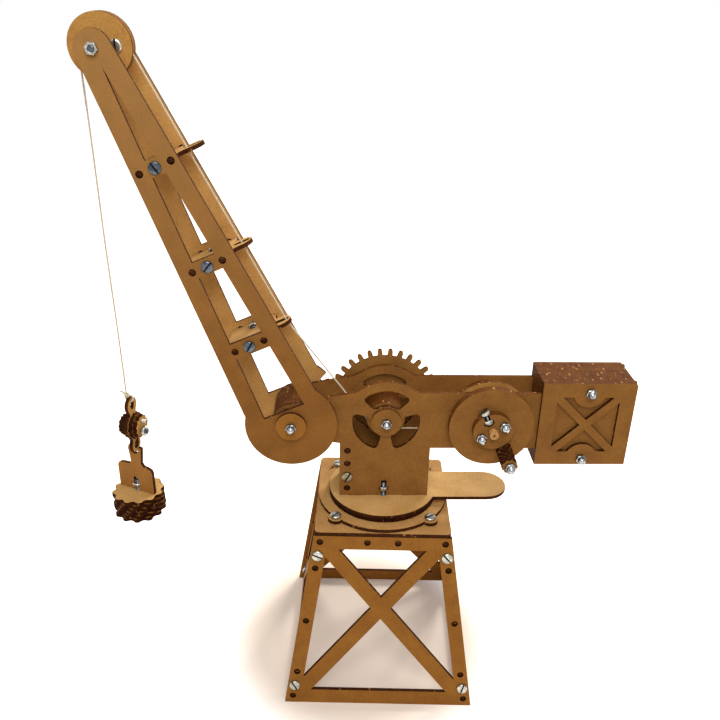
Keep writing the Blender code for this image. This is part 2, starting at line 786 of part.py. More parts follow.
def build_winch(turret):
    """The string drum, its crank disc, the hub and the spinning knob."""
    winch = frame_at("winch_frame", turret, (WINCH_X, 0, AXIS_Z))
    dowel = rod_profile(35.5, -18.5, DOWEL_R)
    dowel = dowel[:-1] + [(1.1, 35.5), (0.9, 30.5), (0, 30.5)]
    piece("winch_axle", turned_mesh(dowel, 20), winch, turn=UPRIGHT, look="dowel")
    bore = circle(0, 0, DOWEL_HOLE_R, 16)
    mesh = sheet_mesh([circle(0, 0, DRUM_R, 32), bore], 6 * PITCH - GAP)
    piece("winch_drum", mesh, winch, turn=UPRIGHT)
    front = sheet_mesh([circle(0, 0, WINCH_FLANGE_R, 48), bore])
    piece("winch_front_flange", front, winch, (0, -3.5 * PITCH, 0), UPRIGHT)
    back = sheet_mesh([circle(0, 0, WINCH_BACK_R, 36), bore])
    piece("winch_back_flange", back, winch, (0, 3.5 * PITCH, 0), UPRIGHT)
    spacer = sheet_mesh([circle(0, 0, 10.0, 24), bore])
    piece("winch_spacer_washer", spacer, winch, (0, -5.5 * PITCH, 0), UPRIGHT)

    knob_hole = hole(KNOB_X, KNOB_Z)
    bolts = [hole(*polar(0, 0, 9.3, angle)) for angle in (31, -150)]
    holes = [bore, knob_hole] + bolts
    mesh = grooved_mesh([circle(0, 0, CRANK_R, 48)] + holes, circle(0, 0, CRANK_R - 0.6, 48), 40.0, 2)
    piece("crank_disc", mesh, winch, (0, -7 * PITCH, 0), UPRIGHT)

    turn = 115.0
    slot = []
    for inset, rise in tee_slot(9.0, 2.1, 4.2, 7.6, 3.7):
        out = math.sqrt(HUB_R**2 - rise**2) - inset
        aim = math.degrees(math.atan2(rise, out))
        slot.append(polar(0, 0, math.hypot(out, rise), turn + aim))
    edge = math.degrees(math.asin(2.1 / HUB_R))
    rim = arc(0, 0, HUB_R, turn + edge + 3, turn + 360 - edge - 3, 26)
    holes = [bore] + bolts
    mesh = grooved_mesh([slot + rim] + holes, circle(0, 0, HUB_R - 0.6, 26), 20.0, 2)
    piece("crank_hub", mesh, winch, (0, -9 * PITCH, 0), UPRIGHT)

    bolt = [(0, 15.3), (3.4, 15.3), (3.4, 17.7), (BOLT_R, 17.7), (BOLT_R, 52.5), (0, 52.5)]
    place = (KNOB_X, 0, KNOB_Z)
    piece("crank_knob_bolt", turned_mesh(bolt, 12), winch, place, UPRIGHT, "metal")

    knob = frame_at("knob_frame", winch, place)
    layers = [wavy(KNOB_R - 0.2, 0.3, 7, 17.0 * k, 2) for k in range(KNOB_LAYERS)]
    mesh = shuffled_mesh(layers, KNOB_R - 1.0, BOLT_HOLE_R)
    middle = -(8 * PITCH + KNOB_LAYERS * PITCH / 2)
    piece("crank_knob", mesh, knob, (0, middle, 0), UPRIGHT, "edge")
    return winch


def jib_half(along):
    """Half the jib's width at a distance along it."""
    return JIB_HALF_AT_HEAD + JIB_TAPER * (JIB_LENGTH - 5.0 - along)


def jib_shoulder():
    """The angle at which the base disc meets the tapering sides, from the jib's right."""
    along = 0.0
    for _ in range(40):
        along = math.sqrt(JIB_DISC_R**2 - jib_half(along) ** 2)
    return math.degrees(math.atan2(along, jib_half(along)))


def jib_outline(toothed):
    """The jib plate's outline in its own frame, with or without the toothed sector."""
    lean_deg = math.degrees(math.atan(JIB_TAPER))
    outline = arc(0, JIB_LENGTH, JIB_HEAD_R, lean_deg, 180 - lean_deg, 12)
    shoulder = jib_shoulder()
    if not toothed:
        return outline + arc(0, 0, JIB_DISC_R, 180 - shoulder, 360 + shoulder, 44)
    tilt = JIB_REST_DEG - 90
    pitch = 360.0 / SECTOR_TEETH
    start = SECTOR_FIRST_DEG - tilt
    end = SECTOR_LAST_DEG - tilt
    outline += arc(0, 0, JIB_DISC_R, 180 - shoulder, 360 + start - 13, 22)
    outline.append(polar(0, 0, SECTOR_ROOT_R, start - 10))
    for k in range(round((end - start) / pitch) + 1):
        outline += tooth(start + pitch * k, SECTOR_ROOT_R, SECTOR_TIP_R, TOOTH_HALF)
    outline.append(polar(0, 0, SECTOR_ROOT_R, end + 10))
    outline += arc(0, 0, JIB_DISC_R, end + 12, shoulder, 3)
    return outline


def jib_plate_outlines(toothed):
    """The jib plate with its windows and holes."""
    outlines = [jib_outline(toothed), hole(0, 0), hole(0, JIB_LENGTH)]

    def half(along):
        return WINDOW_HALF_AT_TOP + WINDOW_TAPER * (JIB_TOP_WINDOW[0] - along)

    for low, high in JIB_WINDOWS:
        outlines.append([(-half(low), low), (half(low), low), (half(high), high), (-half(high), high)])
    low, high = JIB_TOP_WINDOW
    outlines.append([(-half(low), low), (half(low), low), (0.0, high)])
    for level in EYE_LEVELS:
        outlines.append(hole(0, level))
        outlines += [hole(side * EYE_NUB_W, level, NUB_HOLE_R) for side in (-1, 1)]
    return outlines


def eye_plate_outlines(level):
    """A spreader between the jib plates, with its string eye out to the right."""
    edge = JIB_INNER_Y - 0.15
    wide = min(17.5, jib_half(level) - 2.0)
    steps = [(-wide, -edge)]
    for w in (-EYE_NUB_W, 0.0, EYE_NUB_W):
        if w == 0.0:
            steps += [(w + rise, -edge + inset) for inset, rise in tee_slot(11.0)]
        else:
            reach = edge + PITCH - 0.1
            steps += [(w - NUB_SIDE / 2, -edge), (w - NUB_SIDE / 2, -reach)]
            steps += [(w + NUB_SIDE / 2, -reach), (w + NUB_SIDE / 2, -edge)]
    steps.append((wide, -edge))
    lower = steps + [(wide + 0.6, -8.2), (wide + 2.6, -7.4)]
    tip = EYE_TIP_W - 7.4
    end = arc(tip, 0, 7.4, -80, 80, 8)
    upper = [(w, -y) for w, y in reversed(lower)]
    eye = [(w, y) for w, y in arc(26.4, 0, 2.3, -90, 90, 5)]
    eye += arc(19.2, 0, 2.3, 90, 270, 5)
    return [lower + end + upper, eye]


def build_jib(turret):
    """The luffing jib with its eyes, head bolt and pulley."""
    turn = JIB_REST_DEG - 90
    jib = frame_at("jib_frame", turret, (PIVOT_X, 0, AXIS_Z), (0, -turn, 0))
    for name, y in (("front", -1), ("back", 1)):
        mesh = sheet_mesh(jib_plate_outlines(y > 0))
        piece(f"jib_{name}_plate", mesh, jib, (0, y * 6.5 * PITCH, 0), UPRIGHT)
    for name, level in zip(("lower", "middle", "upper"), EYE_LEVELS):
        mesh = sheet_mesh(eye_plate_outlines(level))
        piece(f"jib_eye_plate_{name}", mesh, jib, (0, 0, level))

    head = (0, 0, JIB_LENGTH)
    bolt = [(0, -24.4), (3.9, -24.4), (3.9, -21.2), (BOLT_R, -21.2), (BOLT_R, 25.5), (0, 25.5)]
    piece("head_bolt", turned_mesh(bolt, 12), jib, head, UPRIGHT, "metal")
    length = JIB_INNER_Y - 1.5 * PITCH - GAP
    for name, side in (("front", -1), ("back", 1)):
        mesh = sheet_mesh([circle(0, 0, 5.0, 20), hole(0, 0)], length)
        middle = side * (JIB_INNER_Y + 1.5 * PITCH) / 2
        piece(f"head_spacer_{name}", mesh, jib, (0, middle, JIB_LENGTH), UPRIGHT)

    pulley = frame_at("pulley_frame", jib, head)
    for name, y in (("front", -PITCH), ("back", PITCH)):
        mesh = sheet_mesh([circle(0, 0, PULLEY_R, 44), hole(0, 0)])
        piece(f"pulley_{name}_flange", mesh, pulley, (0, y, 0), UPRIGHT)
    mesh = sheet_mesh([circle(0, 0, PULLEY_CORE_R, 32), hole(0, 0)])
    piece("pulley_core", mesh, pulley, turn=UPRIGHT)
    return jib


def build_strings(turret, jib):
    """The string from the winch to the hook, in three held runs."""
    lowest = (EYE_LEVELS[0], 26.6)
    turn = math.radians(JIB_REST_DEG)
    eye_x = PIVOT_X + lowest[0] * math.cos(turn) + lowest[1] * math.sin(turn)
    eye_z = AXIS_Z + lowest[0] * math.sin(turn) - lowest[1] * math.cos(turn)
    leave = tangent(eye_x, eye_z, 0, AXIS_Z, STRING_BEND_R, 1)
    points = [(WINCH_X, 0, AXIS_Z - STRING_BEND_R)]
    bend = arc(0, AXIS_Z, STRING_BEND_R, 270, leave + (0 if leave > 0 else 360) - 0.0, 8)
    bend.sort(key=lambda spot: -spot[0])
    points += [(x, 0, z) for x, z in bend]
    points.append((eye_x, 0, eye_z))
    piece("string_lower_run", tube_mesh(points, STRING_R), turret, look="twine")

    start = tangent(lowest[1], lowest[0] + 0.8, 0, JIB_LENGTH, HEAD_BEND_R, 1)
    points = [(lowest[1] - 0.05, 0, lowest[0] + 0.8)]
    stop = 177.5 - (JIB_REST_DEG - 90)
    points += [(w, 0, u) for w, u in arc(0, JIB_LENGTH, HEAD_BEND_R, start, stop, 10)]
    piece("string_jib_run", tube_mesh(points, STRING_R), jib, look="twine")


def hook_plate_outlines():
    """The hook's middle board: tie eye, scalloped body and open hook."""
    body = []
    for k in range(30):
        angle = 112 + 316.0 * k / 29
        if 232 < angle < 308:
            continue
        swing = 0.45 * math.cos(math.radians(angle * 12))
        body.append(polar(0, HOOK_Z, HOOK_R + swing, angle))
    left = [spot for spot in body if spot[0] < 0]
    right = [spot for spot in body if spot[0] >= 0]
    eye = arc(0, HOOK_EYE_Z, HOOK_EYE_R, -35, 215, 14)
    link = [(-4.4, 50.6), (-5.6, LINK_Z + 2.2)]
    link += arc(0, LINK_Z, LINK_OUT_R, 180, 380, 12)
    link += [(4.0, LINK_Z + 4.4), (2.8, LINK_Z + 2.0)]
    link += arc(0, LINK_Z, LINK_IN_R, 15, -180, 10)
    link += [(-2.4, LINK_Z + 2.6), (1.2, 49.2), (4.6, 50.6)]
    hole_points = []
    for k in range(14):
        angle = 2 * math.pi * k / 14
        hole_points.append((2.6 * math.cos(angle), HOOK_EYE_Z + 0.6 + 3.9 * math.sin(angle)))
    return [eye + left + link + right, hole_points]


def build_hook(root, jib_head):
    """The hanging string, the hook block and the load."""
    fall = frame_at("fall_frame", root, (jib_head[0], 0, jib_head[1]))
    top = (FALL_TOP_X - jib_head[0], 0, 0)
    end = (HOOK_X - 1.9 - jib_head[0], 0, HOOK_EYE_Z + HOOK_EYE_R + 0.7 - jib_head[1])
    count = 12
    points = []
    for k in range(count + 1):
        t = k / count
        points.append((top[0] + (end[0] - top[0]) * t, 0, top[2] + (end[2] - top[2]) * t))
    piece("string_fall", tube_mesh(points, STRING_R), fall, look="twine")

    hook = frame_at("hook_frame", root, (HOOK_X, 0, 0), (0, 0, HOOK_YAW_DEG))
    mesh = sheet_mesh(hook_plate_outlines())
    plate = piece("hook_plate", mesh, hook)
    plate.rotation_euler = (math.radians(90), 0, math.radians(90))
    for name, radii in HOOK_BOARDS:
        layers = [wavy(radius, 0.45, 12, 11.0 * k, 3) for k, radius in enumerate(radii)]
        mesh = shuffled_mesh(layers, min(radii) - 1.2)
        x = (1 if name == "right" else -1) * (PITCH / 2 + len(radii) * PITCH / 2)
        discs = piece(f"hook_discs_{name}", mesh, hook, (x, 0, HOOK_Z), look="edge")
        discs.rotation_euler = (0, math.radians(90), 0)

    load = frame_at("load_frame", root, (LOAD_X, 0, 0), (0, 0, LOAD_YAW_DEG))
    half = LOAD_PLATE_HALF
    top = LOAD_PLATE_TOP
    link_z = LINK_Z - LINK_IN_R * 2 + LINK_SEAT
    start = (HOOK_X - LOAD_X) / math.cos(math.radians(LOAD_YAW_DEG))
    low = LOAD_TOP + GAP
    outline = [(-half, low)]
    outline += [(rise, low + inset) for inset, rise in tee_slot(11.5, 2.1, 3.0, 6.2, 3.6)]
    outline += [(half, low), (half, top - 3.4), (half - 1.1, top - 1.0), (half - 3.6, top)]
    outline += [(start + 6.4, top + 0.6), (start + 4.6, top + 3.0)]
    outline += [(start + 5.9, link_z - 0.5), (start + 6.1, link_z + 2.4)]
    outline += [(start + 3.2, link_z + 2.6)]
    outline += arc(start, link_z, LINK_IN_R, 0, -180, 8)
    outline += arc(start, link_z, LINK_IN_R, 180, 90, 4)[1:]
    outline += [(start + 0.8, link_z + LINK_IN_R), (start + 1.6, link_z + 4.4)]
    outline += arc(start, link_z, LINK_OUT_R, 82, 200, 8)
    outline += [(start - 4.6, top + 3.0), (start - 6.4, top + 0.6)]
    outline += [(-half + 3.6, top), (-half + 1.1, top - 1.0), (-half, top - 3.4)]
    piece("load_plate", sheet_mesh([outline]), load, turn=UPRIGHT)
    layers = [wavy(LOAD_R, 0.8, 14, 11.0 * k, 2) for k in range(LOAD_LAYERS)]
    mesh = shuffled_mesh(layers, LOAD_R - 2.2)
    piece("load_discs", mesh, load, (0, 0, LOAD_TOP - LOAD_LAYERS * PITCH / 2), look="edge")


def settle(root):
    """Moves the whole crane, so that the middle of its lowest level is the origin."""
    bpy.context.view_layer.update()
    corners = []
    for made in MODEL.objects:
        if made.type == "MESH":
            corners += [made.matrix_world @ vertex.co for vertex in made.data.vertices]
    low = [min(corner[k] for corner in corners) for k in range(3)]
    high = [max(corner[k] for corner in corners) for k in range(3)]
    root.location = (-(low[0] + high[0]) / 2, -(low[1] + high[1]) / 2, -low[2])
    bpy.context.view_layer.update()


def main():
    """Builds the crane."""
    clear_scene()
    root = frame_at("crane", None)
    build_tower(root)
    turret = build_turret(root)
    build_roller_and_gear(turret)
    build_winch(turret)
    jib = build_jib(turret)
    turn = math.radians(JIB_REST_DEG)
    head = (PIVOT_X + JIB_LENGTH * math.cos(turn), AXIS_Z + JIB_LENGTH * math.sin(turn))
    build_strings(turret, jib)
    build_hook(root, head)
    settle(root)


main()
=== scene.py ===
"""The looks of a laser-cut fibreboard crane with a geared jib, a crank winch and a hanging load.

The boards stay as the frame gives them and get their finishes here, apart from the
counterweight's two crossed frames. Those, and the screws, nuts, threaded rods, scalloped stacks
and string, are modelled here. Sizes are in millimetres, measured from the middle of the tower's
top plate: X to the counterweight, Y away from the front, Z up.
"""

from __future__ import annotations

import logging
import math
import random
from collections.abc import Callable, Iterable, Sequence
from dataclasses import dataclass, replace
from enum import Enum

import bmesh
import bpy
from mathutils import Matrix, Vector


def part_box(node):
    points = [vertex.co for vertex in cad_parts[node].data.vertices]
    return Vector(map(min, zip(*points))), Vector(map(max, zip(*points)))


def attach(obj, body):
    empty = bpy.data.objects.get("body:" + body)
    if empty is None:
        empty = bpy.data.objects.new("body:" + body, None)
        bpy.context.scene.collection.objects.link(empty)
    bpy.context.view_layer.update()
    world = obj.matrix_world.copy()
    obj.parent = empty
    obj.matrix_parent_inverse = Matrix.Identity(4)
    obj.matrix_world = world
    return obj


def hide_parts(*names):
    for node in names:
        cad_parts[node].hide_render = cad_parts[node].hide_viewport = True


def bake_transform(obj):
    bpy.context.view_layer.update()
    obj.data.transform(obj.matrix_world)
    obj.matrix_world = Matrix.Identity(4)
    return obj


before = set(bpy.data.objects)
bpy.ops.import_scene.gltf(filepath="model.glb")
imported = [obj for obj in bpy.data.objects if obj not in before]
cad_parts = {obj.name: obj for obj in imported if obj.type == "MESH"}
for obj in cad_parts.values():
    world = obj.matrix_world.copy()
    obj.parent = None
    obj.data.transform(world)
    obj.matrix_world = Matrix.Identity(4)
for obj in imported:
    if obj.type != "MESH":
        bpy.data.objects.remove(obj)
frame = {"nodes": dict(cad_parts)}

LOG = logging.getLogger("crane")

MM = 0.001
PITCH = 3.0
GAP = 0.3

AXIS_Z = 73.7
PIVOT_X = -68.5
WINCH_X = 75.4
JIB_LENGTH = 273.0
JIB_REST_DEG = 113.6
TOWER_TURN_DEG = -2.06
TOWER_HALF_TOP = 50.0
TOWER_HALF_FOOT = 72.5
TOWER_HEIGHT = 147.5
TOWER_LEAN = math.atan2(TOWER_HALF_FOOT - TOWER_HALF_TOP, TOWER_HEIGHT)

UP = (0.0, 0.0, 1.0)
DOWN = (0.0, 0.0, -1.0)
NEAR = (0.0, -1.0, 0.0)
FAR = (0.0, 1.0, 0.0)
LEFT = (-1.0, 0.0, 0.0)
RIGHT = (1.0, 0.0, 0.0)
SIDES = (("front", -1), ("back", 1))

Colour = tuple[float, float, float, float]
Point = tuple[float, float, float]
Shape = Callable[[float], float]
Look = bpy.types.Material
Mesh = bmesh.types.BMesh
Piece = bpy.types.Object
Socket = bpy.types.NodeSocket


class Body(Enum):
    """The moving bodies that pieces ride on."""

    TOWER = "tower"
    TURRET = "turret"
    WINCH = "winch"
    KNOB = "knob"
    JIB = "jib"
    PULLEY = "pulley"
    FALL = "fall"
    HOOK = "hook"
    LOAD = "load"


class Slot(Enum):
    """The record's material slots."""

    FIBREBOARD = "fibreboard"
    SCORCHED = "scorched_board"
    ZINC = "zinc"
    TWINE = "twine"


def frame_origin() -> Vector:
    """Finds the middle of the tower's top plate in the row frame.

    Returns:
        The point that this script measures from, in metres.
    """
    low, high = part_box("tower_top_plate")
    return Vector(((low.x + high.x) / 2, (low.y + high.y) / 2, high.z + GAP / 2 * MM))


def turned(degrees: float, axis: str = "Z") -> Matrix:
    """A turn about one axis."""
    return Matrix.Rotation(math.radians(degrees), 4, axis)


ROW = Matrix.Translation(frame_origin()) @ Matrix.Scale(MM, 4)
TOWER_FRAME = turned(TOWER_TURN_DEG)
TURRET_FRAME = Matrix.Identity(4)
WINCH_FRAME = Matrix.Translation((WINCH_X, 0, AXIS_Z))
JIB_FRAME = Matrix.Translation((PIVOT_X, 0, AXIS_Z)) @ turned(90.0 - JIB_REST_DEG, "Y")
HOOK_FRAME = Matrix.Translation((-187.0, 0, 0)) @ turned(-15.0)
LOAD_FRAME = Matrix.Translation((-188.7, 0, 0)) @ turned(-26.0)


def linear_colour(text: str) -> Colour:
    """Turns an sRGB hex colour into linear values.

    Args:
        text: Six hex digits after a hash.

    Returns:
        Red, green, blue and alpha, linear.
    """
    values = []
    for k in (1, 3, 5):
        share = int(text[k : k + 2], 16) / 255.0
        values.append(share / 12.92 if share <= 0.04045 else ((share + 0.055) / 1.055) ** 2.4)
    return (values[0], values[1], values[2], 1.0)


def set_inputs(tree: bpy.types.NodeTree, node: bpy.types.Node, inputs: dict) -> None:
    """Links a node's inputs, or sets their values.

    Args:
        tree: The node's tree.
        node: The node.
        inputs: Values or sockets, by the input's name or number.
    """
    for key, value in inputs.items():
        if isinstance(value, bpy.types.NodeSocket):
            tree.links.new(value, node.inputs[key])
        else:
            node.inputs[key].default_value = value


def add_node(
    tree: bpy.types.NodeTree, kind: str, inputs: dict | None = None, **settings: object
) -> bpy.types.Node:
    """Adds one node with its settings and links.

    Args:
        tree: The material's or world's node tree.
        kind: The node's type, after "ShaderNode".
        inputs: Values or sockets for its inputs.
        **settings: The node's own properties.

    Returns:
        The new node.
    """
    node = tree.nodes.new(f"ShaderNode{kind}")
    for key, value in settings.items():
        setattr(node, key, value)
    set_inputs(tree, node, inputs or {})
    return node


class Surface:
    """One material in the making, with a short call for each node that the finishes share."""

    def __init__(self, name: str) -> None:
        """Starts a material with the object's own coordinates.

        Args:
            name: The real material's name.
        """
        self.made = bpy.data.materials.new(name)
        self.made.use_nodes = True
        self.tree = self.made.node_tree
        self.place = add_node(self.tree, "TexCoord").outputs["Object"]

    def noise(
        self, size_mm: float, detail: float, roughness: float = 0.5, place: Socket | None = None
    ) -> Socket:
        """Adds noise.

        Args:
            size_mm: Its grain.
            detail: How many finer grains it carries.
            roughness: How strong those are.
            place: Its coordinates, if not the object's own.

        Returns:
            Its value.
        """
        inputs = {"Vector": place or self.place, "Scale": 1.0 / (size_mm * MM)}
        inputs |= {"Detail": detail, "Roughness": roughness}
        return add_node(self.tree, "TexNoise", inputs).outputs[0]

    def squeezed(self, scale: Sequence[float]) -> Socket:
        """The object's coordinates, scaled along each axis."""
        inputs = {"Vector": self.place, "Scale": scale}
        return add_node(self.tree, "Mapping", inputs).outputs[0]

    def spread(
        self, value: Socket, low: float, high: float, start: float = 0.0, end: float = 1.0
    ) -> Socket:
        """Maps the range from low to high to the one from start to end, clamped."""
        inputs = {0: value, 1: low, 2: high, 3: start, 4: end}
        return add_node(self.tree, "MapRange", inputs).outputs[0]

    def maths(self, operation: str, *values: Socket | float) -> Socket:
        """Does one sum."""
        inputs = dict(enumerate(values))
        return add_node(self.tree, "Math", inputs, operation=operation).outputs[0]

    def mix(self, share: Socket, first: Socket | str, second: Socket | str) -> Socket:
        """Mixes two colours.

        Args:
            share: How much of the second there is.
            first: The first colour, a hex text or a socket.
            second: The second colour.

        Returns:
            The mixed colour.
        """
        ends = [linear_colour(end) if isinstance(end, str) else end for end in (first, second)]
        inputs = {0: share, 6: ends[0], 7: ends[1]}
        return add_node(self.tree, "Mix", inputs, data_type="RGBA").outputs[2]

    def bump(self, height: Socket, strength: float, depth_mm: float) -> Socket:
        """Turns a height into a relief for the shader's normal."""
        inputs = {"Height": height, "Strength": strength, "Distance": depth_mm * MM}
        return add_node(self.tree, "Bump", inputs).outputs[0]

    def finish(self, inputs: dict) -> Look:
        """Sets the shader's inputs and gives the material."""
        set_inputs(self.tree, self.tree.nodes["Principled BSDF"], inputs)
        return self.made


@dataclass(frozen=True)
class Fibreboard:
    """Medium density fibreboard: pressed wood fibre with a sanded skin.

    The skin is nearly matt, a warm brown with fine darker fibres and slow blotches where the
    resin is richer.
    """

    name: str
    pale: str
    deep: str
    fleck: str = "#5A3A1C"
    # Real fibres are about 0.3 mm wide. They are drawn at 1.3 mm, so that they show.
    fibre_mm: float = 1.3
    blotch_mm: float = 16.0
    fleck_mm: float = 0.8
    roughness: float = 0.62
    # Painted top light: the paler colour that the board takes higher up, standing in for a lamp
    # above, and the heights in metres between which it comes in.
    top_light_colour: str = ""
    top_light_from: float = 0.25
    top_light_to: float = 0.47

    def material(self) -> Look:
        """Makes the board's face material.

        Returns:
            The material.
        """
        look = Surface(self.name)
        fibre = look.noise(self.fibre_mm, 3.0, 0.62)
        blotch = look.noise(self.blotch_mm, 3.0, 0.55)
        slow = look.maths("MULTIPLY", look.spread(blotch, 0.32, 0.68), 0.55)
        share = look.maths("MULTIPLY_ADD", look.spread(fibre, 0.3, 0.7), 0.5, slow)
        body = look.mix(share, self.deep, self.pale)
        if self.top_light_colour:
            # Painted top light: the board pales with height.
            height = add_node(look.tree, "SeparateXYZ", {0: look.place}).outputs[2]
            top_light_share = look.spread(height, self.top_light_from, self.top_light_to, 0.0, 0.4)
            body = look.mix(top_light_share, body, self.top_light_colour)
        flecks = look.spread(look.noise(self.fleck_mm, 1.0), 0.63, 0.72, 0.0, 0.45)
        smooth, dull = self.roughness - 0.06, self.roughness + 0.08
        inputs = {
            "Base Color": look.mix(flecks, body, self.fleck),
            "Roughness": look.spread(blotch, 0.3, 0.7, smooth, dull),
            "Normal": look.bump(fibre, 0.22, 0.25),
            "Specular IOR Level": 0.12,
        }
        return look.finish(inputs)


@dataclass(frozen=True)
class ScorchedEdge:
    """A laser-cut board edge: charred dark brown.

    The beam leaves fine stripes across the board's thickness, redder and paler where it moved
    fast, and a few small pale ticks where a bridge of board was broken off.
    """

    name: str
    across: Point
    char: str = "#230E05"
    brown: str = "#553018"
    tick: str = "#A9763E"
    # The beam's stripes are about 0.2 mm apart. They are drawn at 0.9 mm, so that they show.
    stripe_mm: float = 0.9
    scorch_mm: float = 9.0
    tick_mm: float = 2.2
    # How far the pattern moves from one board of a stack to the next, in metres.
    board_step: float = 0.0371

    def material(self) -> Look:
        """Makes the edge material, whose stripes run along the across direction.

        Returns:
            The material.
        """
        look = Surface(self.name)
        inputs = {0: look.place, 1: self.across}
        along = add_node(look.tree, "VectorMath", inputs, operation="DOT_PRODUCT").outputs[1]
        board = look.maths("ROUND", look.maths("DIVIDE", along, PITCH * MM))
        aside = look.maths("MULTIPLY", board, self.board_step)
        flat = look.squeezed([1.0 if abs(part) < 0.5 else 0.2 for part in self.across])
        inputs = {0: flat, 1: aside}
        drawn = add_node(look.tree, "VectorMath", inputs, operation="ADD").outputs[0]
        stripe = look.noise(self.stripe_mm, 2.0, place=drawn)
        white = add_node(look.tree, "TexWhiteNoise", {"W": board}, noise_dimensions="1D")
        slow = look.spread(look.noise(self.scorch_mm, 2.0), 0.35, 0.7, 0.0, 0.35)
        both = look.maths("ADD", look.spread(stripe, 0.34, 0.68, 0.0, 0.5), slow)
        share = look.maths("MULTIPLY_ADD", white.outputs[0], 0.2, both)
        spots = look.noise(self.tick_mm, 0.0, place=drawn)
        ticks = look.spread(spots, 0.75, 0.775, 0.0, 0.8)
        inputs = {
            "Base Color": look.mix(ticks, look.mix(share, self.char, self.brown), self.tick),
            "Normal": look.bump(stripe, 0.5, 0.3),
            "Roughness": 0.6,
            "Specular IOR Level": 0.03,
        }
        return look.finish(inputs)


@dataclass(frozen=True)
class PlatedSteel:
    """Steel with a thin bright plating: grey-white, with soft darker smears, partly handling marks
    and partly a painted reflection of a dark room.
    """

    name: str
    tone: str
    roughness: float
    smudge_and_reflection: str
    smear_mm: float = 2.2

    def material(self) -> Look:
        """Makes the plated metal.

        Returns:
            The material.
        """
        look = Surface(self.name)
        smear = look.noise(self.smear_mm, 3.0)
        rough = look.spread(smear, 0.3, 0.7, self.roughness * 0.8, self.roughness * 1.5)
        # The darker smears: partly handling marks, partly a painted reflection of a dark room.
        colour = look.mix(look.spread(smear, 0.4, 0.62, 0.0, 0.7), self.tone, self.smudge_and_reflection)
        return look.finish({"Base Color": colour, "Roughness": rough, "Metallic": 1.0})


@dataclass(frozen=True)
class Twine:
    """Undyed cotton twine, three plies twisted: matt, cream, with painted shade between the plies.
    """

    name: str = "cotton_twine"
    crest: str = "#EFE4CA"
    ply_shade: str = "#AD9870"
    fuzz_mm: float = 0.7

    def material(self) -> Look:
        """Makes the twine, which reads each point's place between crest and valley and paints the
        valleys darker as shade.

        Returns:
            The material.
        """
        look = Surface(self.name)
        lay = add_node(look.tree, "Attribute", attribute_name="ply").outputs["Fac"]
        fuzz = look.noise(self.fuzz_mm, 3.0)
        level = look.spread(look.maths("MULTIPLY_ADD", fuzz, 0.5, lay), 0.2, 1.2)
        inputs = {
            # Painted shade: the valleys between the plies darker.
            "Base Color": look.mix(level, self.ply_shade, self.crest),
            "Normal": look.bump(fuzz, 0.6, 0.2),
            "Roughness": 0.92,
            "Sheen Weight": 0.3,
        }
        return look.finish(inputs)


@dataclass(frozen=True)
class TurnedBeech:
    """A bought beech dowel: pale, close-grained along its length, with short dark pores."""

    name: str = "beech_dowel"
    pale: str = "#CC9D5E"
    deep: str = "#A06D34"
    grain_mm: float = 0.9

    def material(self) -> Look:
        """Makes the dowel's wood.

        Returns:
            The material.
        """
        look = Surface(self.name)
        grain = look.noise(self.grain_mm, 3.0, place=look.squeezed([1.0, 0.08, 1.0]))
        inputs = {
            "Base Color": look.mix(look.spread(grain, 0.32, 0.66), self.deep, self.pale),
            "Normal": look.bump(grain, 0.25, 0.2),
            "Roughness": 0.5,
        }
        return look.finish(inputs)


